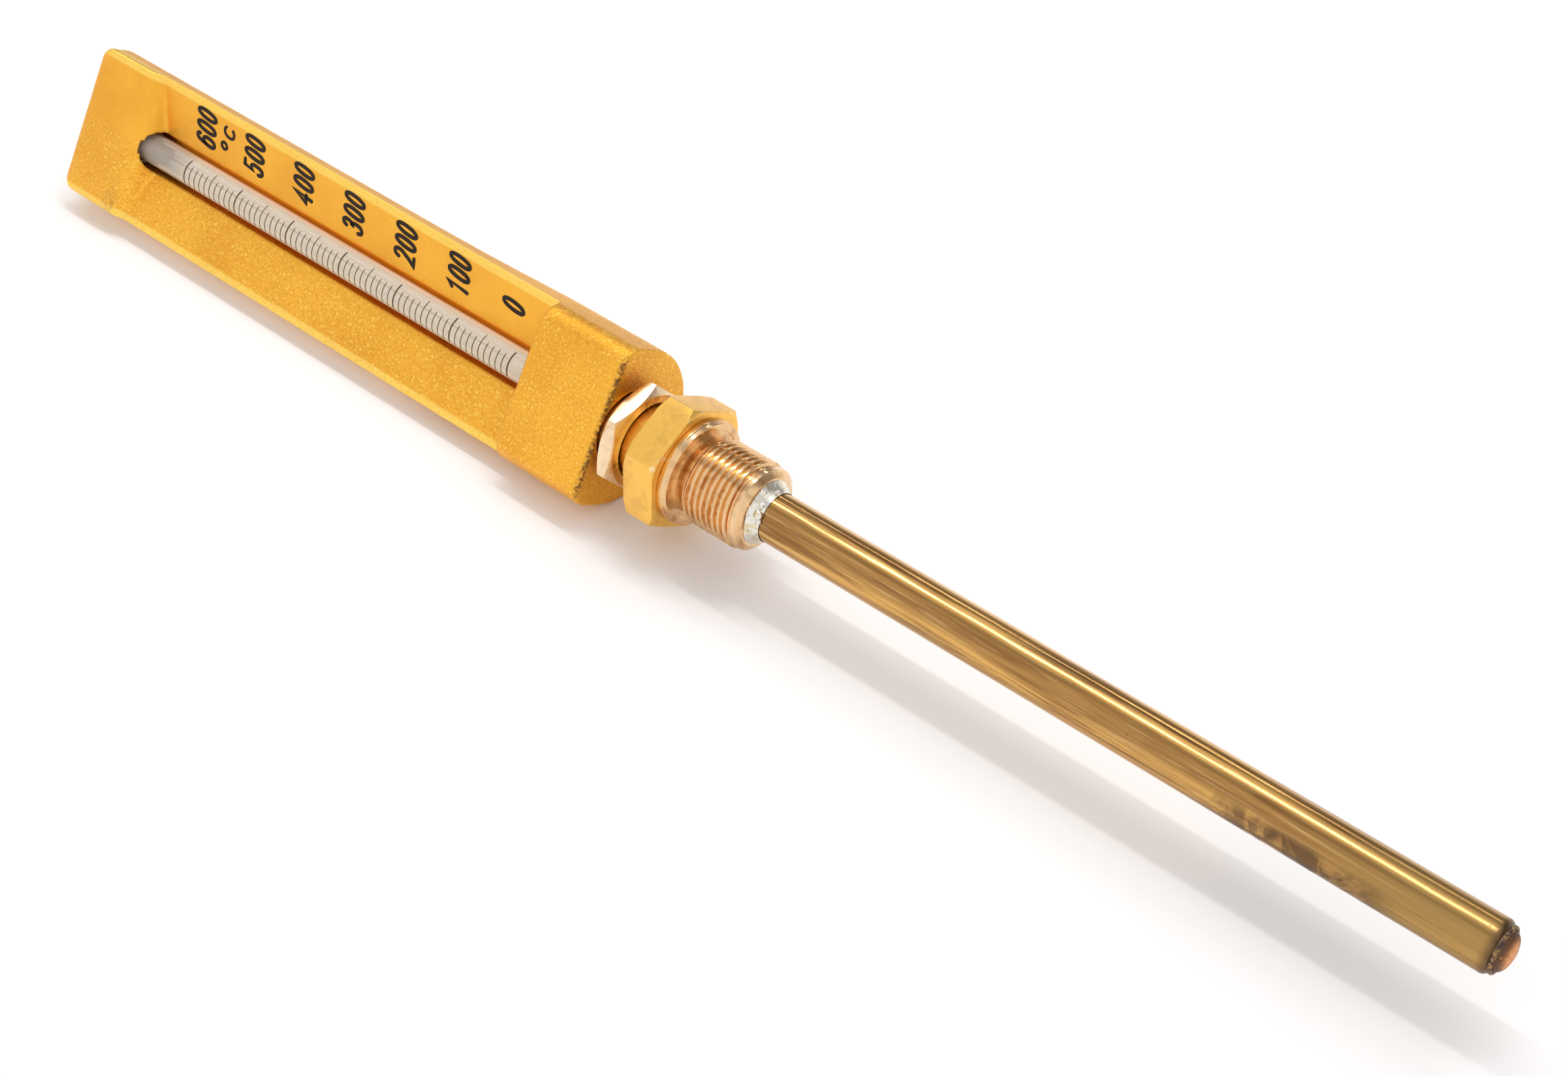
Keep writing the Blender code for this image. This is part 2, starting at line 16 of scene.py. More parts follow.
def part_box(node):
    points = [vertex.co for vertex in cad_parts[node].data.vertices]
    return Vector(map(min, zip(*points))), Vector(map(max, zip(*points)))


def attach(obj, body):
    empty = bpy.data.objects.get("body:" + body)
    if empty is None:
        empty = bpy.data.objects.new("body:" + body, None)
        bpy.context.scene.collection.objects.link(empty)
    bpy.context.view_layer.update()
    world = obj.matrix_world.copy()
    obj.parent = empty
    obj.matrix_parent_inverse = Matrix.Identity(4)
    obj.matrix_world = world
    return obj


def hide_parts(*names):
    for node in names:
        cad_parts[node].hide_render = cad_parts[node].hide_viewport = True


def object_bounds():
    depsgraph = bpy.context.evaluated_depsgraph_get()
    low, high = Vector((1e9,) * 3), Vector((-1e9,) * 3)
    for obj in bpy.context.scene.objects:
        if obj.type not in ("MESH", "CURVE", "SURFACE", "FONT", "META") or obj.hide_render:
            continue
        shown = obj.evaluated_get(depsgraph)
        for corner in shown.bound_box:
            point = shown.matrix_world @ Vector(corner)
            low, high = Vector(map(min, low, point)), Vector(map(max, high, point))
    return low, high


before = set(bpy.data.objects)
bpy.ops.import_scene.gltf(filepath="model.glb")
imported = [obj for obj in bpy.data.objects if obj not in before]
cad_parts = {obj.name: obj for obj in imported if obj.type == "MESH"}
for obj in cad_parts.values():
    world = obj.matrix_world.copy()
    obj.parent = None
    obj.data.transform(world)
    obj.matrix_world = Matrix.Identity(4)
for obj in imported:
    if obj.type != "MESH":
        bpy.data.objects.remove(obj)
CAD_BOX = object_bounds()

bl_info = {
    "name": "Oven thermometer",
    "version": (1, 0, 0),
    "blender": (4, 5, 0),
    "location": "View3D > Sidebar > Thermometer",
    "description": "Makes the finished pieces of an oven thermometer round its CAD frame",
    "category": "Add Mesh",
}

MM = 0.001
GAP = 0.3 * MM
ROLL = math.radians(60)
CONNECTOR_BORE = 5 * MM
OVERRUN = 2 * MM  # How far a cutter runs past what it cuts
PRINT_THICKNESS = 0.03 * MM
PRINT_SLANT = 0.13
STAIN_START, STAIN_END = (0.104, 0.12), (0.134, 0.146)  # Where the heat stain on the tube comes and goes, as x
DULL_START = (0.118, 0.15)  # Where the tube turns dull, as x
CAMERA_PLACE, CAMERA_TURN = (0.2394, -0.2677, 0.2967), (49.09, -1.96, 41.16)  # The turn is in degrees
CASING_BODY, STEM_BODY, NUT_BODY = "casing_and_glass", "connector_and_tube", "nut"

# Places taken from the CAD frame
CASING_TOP_X, CASING_END_X = (corner.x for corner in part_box("casing"))
TUBE_START_X, TUBE_END_X = (corner.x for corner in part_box("immersion_tube"))
GLASS_TOP_X, GLASS_END_X = (corner.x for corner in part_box("glass_rod"))
NECK_TOP_X, CONNECTOR_END_X = (corner.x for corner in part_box("connector"))
NUT_START_X, NUT_END_X = (corner.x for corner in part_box("lock_nut"))
TIP_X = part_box("tip_plug")[1].x
FLOOR_Z = CAD_BOX[0][2]


# Settings


def size(name, description, default):
    return FloatProperty(name=name, description=description, default=default, min=0, unit="LENGTH", precision=5)


def amount(name, description, default, unit="NONE", least=0):
    return FloatProperty(name=name, description=description, default=default, min=least, unit=unit)


def colour(name, description, default):
    return FloatVectorProperty(
        name=name, description=description, default=default, subtype="COLOR", size=3, min=0, max=1
    )


class CasingSettings(bpy.types.PropertyGroup):
    """Sizes and colours of the cast casing and what is printed on it."""

    width: size("Width", "Width of the casing across its front", 31 * MM)
    head_length: size("Head length", "Length of the flat face at the head", 14 * MM)
    head_front: size("Head front", "Height of the head's face above the axis", 5.5 * MM)
    boss_length: size("Boss length", "Length of the boss over the connector", 20.5 * MM)
    boss_front: size("Boss front", "Height of the boss's face above the axis", 8 * MM)
    boss_corner: size("Boss corner", "Radius of the boss's front corners", 4 * MM)
    rim_front: size("Rim front", "Height of the trough's rims above the axis", 3.8 * MM)
    rim_land: size("Rim land", "Width of the flat on each rim", 1.2 * MM)
    lip_front: size("Lip front", "Height of the lips beside the glass", 0.6 * MM)
    lip_half: size("Lip half width", "Distance of the lips from the axis", 4.4 * MM)
    bore_radius: size("Bore radius", "Radius of the bed that holds the glass", 4.2 * MM)
    cell: size("Mesh cell", "Cell of the surface mesh, which also rounds the edges", 0.36 * MM)
    grain: size("Grain", "Size of the blasted grain", 0.5 * MM)
    gold: colour("Gold", "Anodised colour of the casing", (0.90, 0.46, 0.05))
    # Light gold serves both wear and painted highlights: rubbed edges, painted highlights on rims and edges, and
    # painted glints on grains.
    gold_wear_and_highlight: colour("Light gold", "Colour of rubbed edges and sparkling grains", (1.0, 0.74, 0.17))
    gold_deep: colour("Deep gold", "Colour of pits and recesses", (0.62, 0.23, 0.02))
    ink: colour("Ink", "Colour of the printed numbers", (0.02, 0.011, 0.008))
    stroke: size("Stroke", "Width of the strokes of the numbers", 0.8 * MM)
    number_height: size("Number height", "Height of the numbers over all", 6 * MM)
    number_pitch: size("Number pitch", "Distance between numbers along the casing", 14.52 * MM)


class GlassSettings(bpy.types.PropertyGroup):
    """Sizes and colours of the scale glass."""

    radius: size("Radius", "Radius of the scale glass", 3.15 * MM)
    zero_above_boss: size("Zero mark", "Distance of the zero mark above the boss", 7.0 * MM)
    hundred: size("Hundred degrees", "Distance between the marks of two hundreds", 15.4 * MM)
    divisions: IntProperty(name="Divisions", description="Marks from zero to full scale", default=60, min=1)
    milk: colour("Milk", "Colour of the milky glass under the marks", (0.94, 0.82, 0.65))
    smoke: colour("Smoke", "Colour of the glass beside the marks", (0.80, 0.71, 0.60))
    mark: colour("Marks", "Colour of the graduations", (0.10, 0.065, 0.04))


class BrassSettings(bpy.types.PropertyGroup):
    """Sizes and colours of the connector, the lock nut and the solder."""

    across_flats: size("Across flats", "Size of the connector's hexagon", 22.5 * MM)
    hexagon_length: size("Hexagon length", "Length of the connector's hexagon", 6.9 * MM)
    collar_radius: size("Collar radius", "Radius of the collar", 10.2 * MM)
    collar_length: size("Collar length", "Length of the collar", 2 * MM)
    thread_radius: size("Thread radius", "Radius over the crests of the thread", 8.33 * MM)
    thread_pitch: size("Thread pitch", "Pitch of the thread", 1.337 * MM)
    thread_length: size("Thread length", "Length of the thread", 11.6 * MM)
    thread_depth: size("Thread depth", "Depth of the thread", 0.86 * MM)
    neck_radius: size("Neck radius", "Radius of the neck above the hexagon", 7 * MM)
    nut_across_flats: size("Nut across flats", "Size of the lock nut", 19 * MM)
    brass: colour("Brass", "Colour of the turned brass", (0.80, 0.52, 0.27))
    brass_yellow: colour("Yellow brass", "Colour of the brushed flats", (0.92, 0.54, 0.11))
    brass_red: colour("Red brass", "Colour of stains in the brass", (0.46, 0.21, 0.08))
    solder: colour("Solder", "Colour of the solder", (0.80, 0.78, 0.72))


class TubeSettings(bpy.types.PropertyGroup):
    """Sizes and colours of the immersion tube and its tip."""

    radius: size("Radius", "Radius of the immersion tube", 4.7 * MM)
    wall: size("Wall", "Wall of the immersion tube", 0.9 * MM)
    shoulder: size("Shoulder", "Radius of the rounded end of the tube", 1.2 * MM)
    gold: colour("Gold brass", "Light colour of the drawn tube", (0.70, 0.40, 0.12))
    brown: colour("Brown", "Colour of the streaks along the tube", (0.27, 0.13, 0.045))
    stain: colour("Heat stain", "Colour of the stain near the tip", (0.13, 0.075, 0.04))
    olive: colour("Olive", "Colour of the dull brass at the tip", (0.40, 0.245, 0.085))
    copper: colour("Copper", "Colour of the plug", (0.62, 0.25, 0.08))


class StageSettings(bpy.types.PropertyGroup):
    """Floor, light and camera."""

    floor: colour("Floor", "Colour of the floor", (0.93, 0.925, 0.93))
    sky: amount("Sky", "Strength of the light from all round", 1.05)
    key: amount("Key", "Strength of the large light", 1.3, "POWER")
    strip: amount("Strip", "Strength of the long lights", 0.46, "POWER")
    lens: amount("Lens", "Focal length of the camera in millimetres", 60.56, "CAMERA", least=1)


class ThermometerSettings(bpy.types.PropertyGroup):
    """All settings of the thermometer."""

    casing: PointerProperty(type=CasingSettings)
    glass: PointerProperty(type=GlassSettings)
    brass: PointerProperty(type=BrassSettings)
    tube: PointerProperty(type=TubeSettings)
    stage: PointerProperty(type=StageSettings)


# Finishes


class Socket:
    """An output of a node. Sums with it add Math nodes beside it."""

    def __init__(self, nodes, output):
        self.nodes = nodes
        self.output = output

    def maths(self, operation, *values):
        return self.nodes.node("ShaderNodeMath", {"operation": operation}, dict(enumerate(values)))

    def __add__(self, other):
        return self.maths("ADD", self, other)

    def __radd__(self, other):
        return self.maths("ADD", other, self)

    def __sub__(self, other):
        return self.maths("SUBTRACT", self, other)

    def __rsub__(self, other):
        return self.maths("SUBTRACT", other, self)

    def __mul__(self, other):
        return self.maths("MULTIPLY", self, other)

    def __rmul__(self, other):
        return self.maths("MULTIPLY", other, self)

    def __abs__(self):
        return self.maths("ABSOLUTE", self)

    def over(self, other):
        """The larger of two values."""
        return self.maths("MAXIMUM", self, other)

    def under(self, other):
        """The smaller of two values."""
        return self.maths("MINIMUM", self, other)

    def step(self, low, high):
        """0 below low, 1 above high, and smooth between them; low may lie above high."""
        values = {"Value": self, "From Min": low, "From Max": high, "To Min": 0.0, "To Max": 1.0}
        return self.nodes.node("ShaderNodeMapRange", {"interpolation_type": "SMOOTHSTEP"}, values)

    def sector(self, middle, outer, inner):
        """Of an angle: 1 up to inner from the middle and 0 from outer on, all three in degrees."""
        return abs(self - math.radians(middle)).step(math.radians(outer), math.radians(inner))


class NodeTree:
    """The nodes of a material or of the world, and the place that their patterns start from."""

    def __init__(self, tree, coordinates):
        self.tree = tree
        self.place = self.node("ShaderNodeTexCoord", output=coordinates)

    def feed(self, socket, value):
        """Links an output to a socket, or sets a constant there."""
        if isinstance(value, Socket):
            self.tree.links.new(value.output, socket)
        else:
            socket.default_value = value

    def node(self, kind, settings=None, inputs=None, output=0):
        made = self.tree.nodes.new(kind)
        for key, value in (settings or {}).items():
            setattr(made, key, value)
        for key, value in (inputs or {}).items():
            self.feed(made.inputs[key], value)
        return Socket(self, made.outputs[output])

    def axes(self):
        """The three coordinates of the place as numbers."""
        outputs = self.node("ShaderNodeSeparateXYZ", inputs={0: self.place}).output.node.outputs
        return [Socket(self, output) for output in outputs]

    def mix(self, mask, first, second):
        """The first colour where mask is 0 and the second where it is 1."""
        values = {0: mask}
        for i, shade in ((6, first), (7, second)):
            values[i] = shade if isinstance(shade, Socket) else (*shade, 1.0)
        return self.node("ShaderNodeMix", {"data_type": "RGBA"}, values, 2)


class Finish(NodeTree):
    """A material with one Principled shader."""

    def __init__(self, name, base, roughness, metallic, roll=0.0, **uniform):
        self.material = bpy.data.materials.new(name)
        self.material.use_nodes = True
        super().__init__(self.material.node_tree, "Object")
        self.shader = self.tree.nodes["Principled BSDF"]
        self.set("Base Color", (*base, 1.0))
        self.set("Roughness", roughness)
        self.set("Metallic", metallic)
        for key, value in uniform.items():
            self.set(key.replace("_", " ").title().replace("Ior", "IOR"), value)
        if roll:
            turned_back = {"Vector": self.place, "Angle": -roll}
            self.place = self.node("ShaderNodeVectorRotate", {"rotation_type": "X_AXIS"}, turned_back)

    def set(self, socket, value):
        self.feed(self.shader.inputs[socket], value)

    def stretched(self, x, y, z):
        """The place with each axis multiplied, for streaks."""
        return self.node("ShaderNodeVectorMath", {"operation": "MULTIPLY"}, {0: self.place, 1: (x, y, z)})

    def noise(self, grain, detail=2.0, roughness=0.5, distortion=0.0, place=None):
        """Noise from about 0.3 to 0.7 whose lumps are about this long; with a place of its own, grain scales that."""
        values = {"Vector": place or self.place, "Scale": 1 / grain, "Detail": detail}
        values.update({"Roughness": roughness, "Distortion": distortion})
        return self.node("ShaderNodeTexNoise", None, values, "Fac")

    def off_axis(self):
        """Distance from the X axis."""
        return self.node("ShaderNodeVectorMath", {"operation": "LENGTH"}, {0: self.stretched(0, 1, 1)}, "Value")

    def cells(self, grain):
        """Distance to the nearest of scattered points, about 0 to 1."""
        return self.node("ShaderNodeTexVoronoi", None, {"Vector": self.place, "Scale": 1 / grain}, "Distance")

    def edges(self, low, high):
        """1 on edges that stand out and 0 elsewhere."""
        return self.node("ShaderNodeNewGeometry", output="Pointiness").step(low, high)

    def bump(self, height, depth):
        """Height from 0 to 1 as a relief of this depth in metres."""
        self.set("Normal", self.node("ShaderNodeBump", None, {"Height": height, "Distance": depth}, "Normal"))

    def mottle(self, pattern, low, high, first, second, least_rough, more_rough):
        """Two colours and a roughness that follow one pattern."""
        self.set("Base Color", self.mix(pattern.step(low, high), first, second))
        self.set("Roughness", least_rough + pattern * more_rough)


def gold_finish(settings):
    """Blasted and anodised casting: coarse on the boss and one side of the trough, finer beside the numbers."""
    f = Finish("gold_casting", settings.gold, 0.4, 0.92, ROLL)
    x, y, z = f.axes()
    boss_x = CASING_END_X - settings.boss_length
    coarse = x.step(boss_x - 0.4 * MM, boss_x).over(y.step(2 * MM, -1 * MM)) * 0.75 + 0.25
    grain = f.noise(settings.grain, 3.0, 0.6)
    fine = f.noise(settings.grain * 0.35, 2.0, 0.6)
    patches = f.noise(18 * MM, 3.0, 0.55)
    spots = f.cells(settings.grain * 1.6)
    pits = spots.step(0.16, 0.02) * grain.step(0.52, 0.6)
    # Painted glints: peaks of the coarse grain are painted light gold and made a little smoother.
    sparkle = grain.step(0.56, 0.68) * coarse
    shade = f.mix(patches.step(0.35, 0.7) * 0.3, settings.gold, settings.gold_deep)
    shade = f.mix(grain.step(0.5, 0.32) * coarse * 0.45, shade, settings.gold_deep)
    shade = f.mix(sparkle * 0.8, shade, settings.gold_wear_and_highlight)
    # Edges that stand out are painted light gold and made smoother: partly worn anodising, partly painted highlight.
    rubbed_and_highlit = f.edges(0.53, 0.62) * fine.step(0.3, 0.55)
    shade = f.mix(rubbed_and_highlit * 0.85, shade, settings.gold_wear_and_highlight)
    half = settings.width / 2
    # Painted highlight: a ragged light gold line along the rims of the trough.
    rim = abs(y).step(half - 1.9 * MM, half - 1.3 * MM) * z.step(2.6 * MM, 3.4 * MM) * x.step(boss_x, boss_x - MM)
    shade = f.mix(rim * fine.step(0.25, 0.6) * 0.8, shade, settings.gold_wear_and_highlight)
    shade = f.mix(pits * coarse * 0.8, shade, (0.2, 0.07, 0.01))
    grime_noise = f.noise(1.1 * MM, 3.0, 0.65)
    head_edge_x = CASING_TOP_X + settings.head_length
    along = abs(x - (head_edge_x + 0.6 * MM)).step(2.6 * MM, 0.3 * MM)
    grime = along * z.step(2.2 * MM, 5 * MM) * y.step(-6 * MM, -13 * MM) * grime_noise.step(0.38, 0.62)
    shade = f.mix(grime * 0.3, shade, (0.16, 0.11, 0.05))
    end_face = x.step(CASING_END_X - 1.1 * MM, CASING_END_X - 0.2 * MM)
    end_edge = end_face * z.step(settings.boss_front - 1.7 * MM, settings.boss_front - 0.5 * MM)
    broken = end_edge * f.noise(0.7 * MM, 4.0, 0.7).step(0.44, 0.55)
    shade = f.mix(broken * 0.85, shade, (0.14, 0.06, 0.025))
    f.set("Base Color", shade)
    off_axis = f.off_axis()
    # Painted light: the wall of the bed beside the glass glows faintly orange, lifting the shade in the slot.
    slot = off_axis.step(settings.bore_radius + 0.5 * MM, settings.bore_radius + 0.1 * MM)
    slot = slot * x.step(head_edge_x + 3 * MM, head_edge_x + 9 * MM)
    slot = slot * z.step(-4.4 * MM, -2 * MM) * y.step(-1 * MM, 2 * MM)
    f.set("Emission Color", f.mix(slot, (0, 0, 0), (0.42, 0.14, 0.01)))
    f.set("Emission Strength", 1.0)
    f.set("Roughness", 0.3 + grain * 0.26 - sparkle * 0.1 - rubbed_and_highlit * 0.12 + broken * 0.3 + grime * 0.2)
    f.set("Metallic", 0.94 - broken * 0.5 - grime * 0.4)
    f.bump((grain * 0.7 + fine * 0.3 - pits * 0.5) * coarse + broken * fine * 0.8, 0.15 * MM)
    return f.material


def brass_finish(name, base, red, roughness, brushed):
    """Turned or brushed brass with hairline marks and a few stains."""
    f = Finish(name, base, roughness, 1.0)
    hair = f.noise(1.0, 3.0, 0.7, place=f.stretched(*((900, 7000, 7000) if brushed else (9000, 500, 500))))
    stains = f.noise(3.5 * MM, 3.0, 0.6)
    nicks = f.cells(1.7 * MM).step(0.09, 0.02) * stains.step(0.5, 0.62)
    edge = f.edges(0.53, 0.62)
    shade = f.mix(stains.step(0.46, 0.68) * (0.25 if brushed else 0.6), base, red)
    shade = f.mix(nicks * 0.5, shade, (0.25, 0.1, 0.03))
    if brushed:
        shade = f.mix(hair.step(0.52, 0.7) * 0.45, shade, (1.0, 0.72, 0.25))
    shade = f.mix(edge * 0.5, shade, (1.0, 0.86, 0.62))
    f.set("Base Color", shade)
    f.set("Roughness", roughness + hair * (0.22 if brushed else 0.1) + stains * 0.08 - edge * 0.03)
    f.bump(hair * 0.6 - nicks * 0.6, (0.035 if brushed else 0.006) * MM)
    return f.material


def tube_finish(settings):
    """Drawn brass with streaks along it, stained brown and dull towards the tip."""
    f = Finish("drawn_tube", settings.gold, 0.26, 1.0)
    x, y, z = f.axes()
    streaks = f.noise(1.0, 4.0, 0.65, 0.4, f.stretched(26, 620, 620))
    threads = f.noise(1.0, 2.0, 0.6, place=f.stretched(60, 2600, 2600))
    clouds = f.noise(7 * MM, 4.0, 0.65, 0.6)
    spots = f.cells(2.6 * MM).step(0.12, 0.03) * clouds.step(0.5, 0.62)
    shade = f.mix(streaks.step(0.42, 0.66), settings.gold, settings.brown)
    # Painted dark reflections: brown bands at fixed angles round the tube, loosened by the streaks.
    turn = y.maths("ARCTAN2", y, z) + (streaks - 0.5) * 0.5
    band = turn.sector(-48, 34, 12).over(turn.sector(10, 14, 4) * 0.7)
    shade = f.mix(band * 0.65, shade, settings.brown)
    shade = f.mix(threads.step(0.52, 0.72) * 0.35, shade, (0.85, 0.62, 0.28))
    below = z.step(3.0 * MM, 1.2 * MM)
    stain = x.step(*STAIN_START) * x.step(*reversed(STAIN_END)) * below * clouds.step(0.36, 0.52)
    dull = x.step(*DULL_START) * 0.75
    shade = f.mix(dull, shade, settings.olive)
    shade = f.mix((stain * 0.85).under(1.0), shade, settings.stain)
    end = x.step(TUBE_END_X - 2.2 * MM, TUBE_END_X + 0.2 * MM) * (0.45 + clouds)
    shade = f.mix(end.under(0.95), shade, (0.09, 0.055, 0.035))
    shade = f.mix(spots * 0.7, shade, (0.16, 0.07, 0.03))
    f.set("Base Color", shade)
    f.set("Roughness", 0.11 + threads * 0.1 + dull * 0.07 + stain * 0.2 + end * 0.15)
    f.bump(threads * 0.5 + streaks * 0.3 + stain * clouds * 0.6 - spots * 0.5, 0.018 * MM)
    return f.material


def plug_finish(settings):
    """Copper coloured plug, sooty round its edge."""
    f = Finish("copper_plug", settings.copper, 0.4, 0.9)
    x, y, z = f.axes()
    lumps = f.noise(0.9 * MM, 4.0, 0.65)
    off_axis = f.off_axis()
    soot = off_axis.step(1.7 * MM, 3.3 * MM).over(y.step(0.2 * MM, 2.6 * MM)) * lumps.step(0.28, 0.46)
    shade = f.mix(lumps.step(0.45, 0.68), settings.copper, (0.85, 0.46, 0.18))
    f.set("Base Color", f.mix(soot * 0.9, shade, (0.1, 0.06, 0.045)))
    f.set("Roughness", 0.3 + lumps * 0.3 + soot * 0.15)
    f.bump(lumps, 0.12 * MM)
    return f.material


def braze_finish():
    f = Finish("dark_braze", (0.1, 0.065, 0.045), 0.5, 0.7)
    lumps = f.noise(0.6 * MM, 4.0, 0.7)
    f.mottle(lumps, 0.4, 0.62, (0.06, 0.045, 0.04), (0.42, 0.24, 0.1), 0.35, 0.4)
    f.bump(lumps, 0.1 * MM)
    return f.material


def solder_finish(settings):
    """Bright solder with flux stains, yellower where it is thin."""
    f = Finish("bright_solder", settings.solder, 0.14, 1.0)
    ripples = f.noise(1.3 * MM, 3.0, 0.6, 0.8)
    pores = f.cells(0.9 * MM).step(0.2, 0.05)
    shade = f.mix(ripples.step(0.45, 0.65), settings.solder, (0.70, 0.58, 0.36))
    f.set("Base Color", f.mix(pores * 0.75, shade, (0.07, 0.06, 0.055)))
    f.set("Roughness", 0.1 + ripples * 0.2 + pores * 0.3)
    f.bump(ripples - pores * 0.4, 0.1 * MM)
    return f.material


def scale_glass_finish(settings):
    """Milky glass, half clear over the capillary and greyer on the side without marks."""
    f = Finish("milky_glass", settings.milk, 0.12, 0.0, ROLL, coat_weight=0.25, coat_roughness=0.05)
    x, y, z = f.axes()
    turn = y.maths("ARCTAN2", y, z)
    clouds = f.noise(1.0, 3.0, 0.55, place=f.stretched(50, 700, 700))
    side = turn.step(math.radians(27), math.radians(33))
    # Painted shade: the glass turns darker on its side towards the numbers, beside the wall of the slot.
    rim = turn.step(math.radians(55), math.radians(100))
    shade = f.mix(side * 0.6, settings.milk, settings.smoke)
    shade = f.mix(rim * 0.6, shade, (0.42, 0.38, 0.34))
    shade = f.mix(clouds.step(0.45, 0.7) * 0.2, shade, (0.9, 0.86, 0.8))
    # Painted shade near the head, where the glass runs into the dark hole.
    head = x.step(GLASS_TOP_X + 21 * MM, GLASS_TOP_X + 13 * MM)
    shade = f.mix(head * 0.55, shade, (0.33, 0.28, 0.25))
    window = turn.sector(5, 72, 48)
    f.set("Base Color", shade)
    f.set("Alpha", 1.0 - window * 0.5)
    f.set("Roughness", 0.08 + clouds * 0.12)
    return f.material


def enamel_finish(settings):
    f = Finish("white_enamel", settings.milk, 0.35, 0.0, coat_weight=0.4)
    f.mottle(f.noise(4 * MM, 3.0, 0.5), 0.35, 0.65, settings.milk, (0.88, 0.83, 0.75), 0.25, 0.2)
    return f.material


def print_finish(name, base):
    """Printed ink, thinner and browner in places."""
    f = Finish(name, base, 0.5, 0.0, specular_ior_level=0.15)
    wear = f.noise(0.5 * MM, 3.0, 0.6)
    f.set("Base Color", f.mix(wear.step(0.5, 0.75) * 0.5, base, tuple(c * 2.6 for c in base)))
    f.set("Roughness", 0.38 + wear * 0.25)
    f.bump(wear, 0.01 * MM)
    return f.material


def clear_glass_finish():
    f = Finish("clear_glass", (0.92, 0.95, 0.94), 0.05, 0.0, transmission_weight=0.9, ior=1.48)
    f.set("Roughness", 0.03 + f.noise(2 * MM, 2.0) * 0.06)
    return f.material


def mercury_finish():
    f = Finish("mercury", (0.72, 0.73, 0.75), 0.06, 1.0)
    f.mottle(f.noise(1.5 * MM, 2.0), 0.4, 0.6, (0.68, 0.69, 0.71), (0.8, 0.8, 0.82), 0.03, 0.08)
    return f.material


def fibre_finish():
    """Braided packing cord pressed into rings."""
    f = Finish("packing_cord", (0.55, 0.48, 0.37), 0.92, 0.0)
    weave = {"Vector": f.place, "Scale": 260.0, "Distortion": 3.0}
    braid = f.node("ShaderNodeTexWave", {"bands_direction": "DIAGONAL"}, weave, "Fac")
    fuzz = f.noise(0.25 * MM, 3.0, 0.7)
    f.set("Base Color", f.mix(braid * 0.6 + fuzz * 0.3, (0.38, 0.32, 0.23), (0.68, 0.61, 0.49)))
    f.set("Roughness", 0.82 + fuzz * 0.15)
    f.bump(braid * 0.7 + fuzz * 0.3, 0.12 * MM)
    return f.material


def filings_finish():
    f = Finish("packed_filings", (0.45, 0.27, 0.14), 0.5, 0.85)
    chips = f.cells(0.5 * MM)
    f.mottle(chips, 0.2, 0.7, (0.62, 0.36, 0.18), (0.2, 0.11, 0.06), 0.35, 0.4)
    f.bump(1 - chips, 0.15 * MM)
    return f.material


def floor_finish(settings):
    f = Finish("pale_floor", settings.floor, 0.75, 0.0)
    f.set("Roughness", 0.7 + f.noise(0.02, 2.0) * 0.2)
    return f.material


# Mesh tools


def add_object(name, data):
    item = bpy.data.objects.new(name, data)
    bpy.context.scene.collection.objects.link(item)
    return item


def paint(item, finish):
    item.data.materials.clear()
    item.data.materials.append(finish)


def mesh_of(name, work):
    """The mesh of a bmesh, which is freed."""
    mesh = bpy.data.meshes.new(name)
    work.to_mesh(mesh)
    work.free()
    return mesh


def clamped(*values):
    """The least of the values, kept from 0 to 1."""
    return max(0.0, min(1.0, *values))


def noise_round(x, turn, along, around, finer=1):
    """Noise over a turned body, with one scale along it and one around it."""
    return noise.noise(Vector((x * along, math.cos(turn) * around, math.sin(turn) * around)) * finer)


def mesh_from(name, points, faces, crease=35):
    """A mesh whose normals face out, smooth except over edges sharper than crease, in degrees."""
    mesh = bpy.data.meshes.new(name)
    mesh.from_pydata([tuple(p) for p in points], [], faces)
    work = bmesh.new()
    work.from_mesh(mesh)
    bmesh.ops.recalc_face_normals(work, faces=work.faces)
    work.to_mesh(mesh)
    work.free()
    smooth(mesh, crease)
    return mesh


def smooth(mesh, crease=35):
    mesh.shade_smooth()
    mesh.set_sharp_from_angle(angle=math.radians(crease))


def arc(centre, radius, start, end, steps=8):
    """Points of an arc, from the start angle to the end angle in degrees, both included."""
    turns = [math.radians(start + (end - start) * i / steps) for i in range(steps + 1)]
    return [(centre[0] + radius * math.cos(a), centre[1] + radius * math.sin(a)) for a in turns]


def turned(name, outline, steps=128, ripple=None):
    """A body turned about X from a closed outline of (x, radius) points; ripple(x, turn, radius) adds to the radius."""
    points, rings = [], []
    for x, radius in outline:
        if radius == 0:
            rings.append([len(points)] * steps)
            points.append(Vector((x, 0, 0)))
            continue
        rings.append(list(range(len(points), len(points) + steps)))
        for j in range(steps):
            turn = 2 * math.pi * j / steps
            r = radius + (ripple(x, turn, radius) if ripple else 0)
            points.append(Vector((x, r * math.cos(turn), r * math.sin(turn))))
    faces = []
    for ring, after in zip(rings, rings[1:] + rings[:1]):
        for j in range(steps):
            k = (j + 1) % steps
            corners = list(dict.fromkeys((ring[j], ring[k], after[k], after[j])))
            if len(corners) > 2:
                faces.append(corners)
    return add_object(name, mesh_from(name, points, faces))


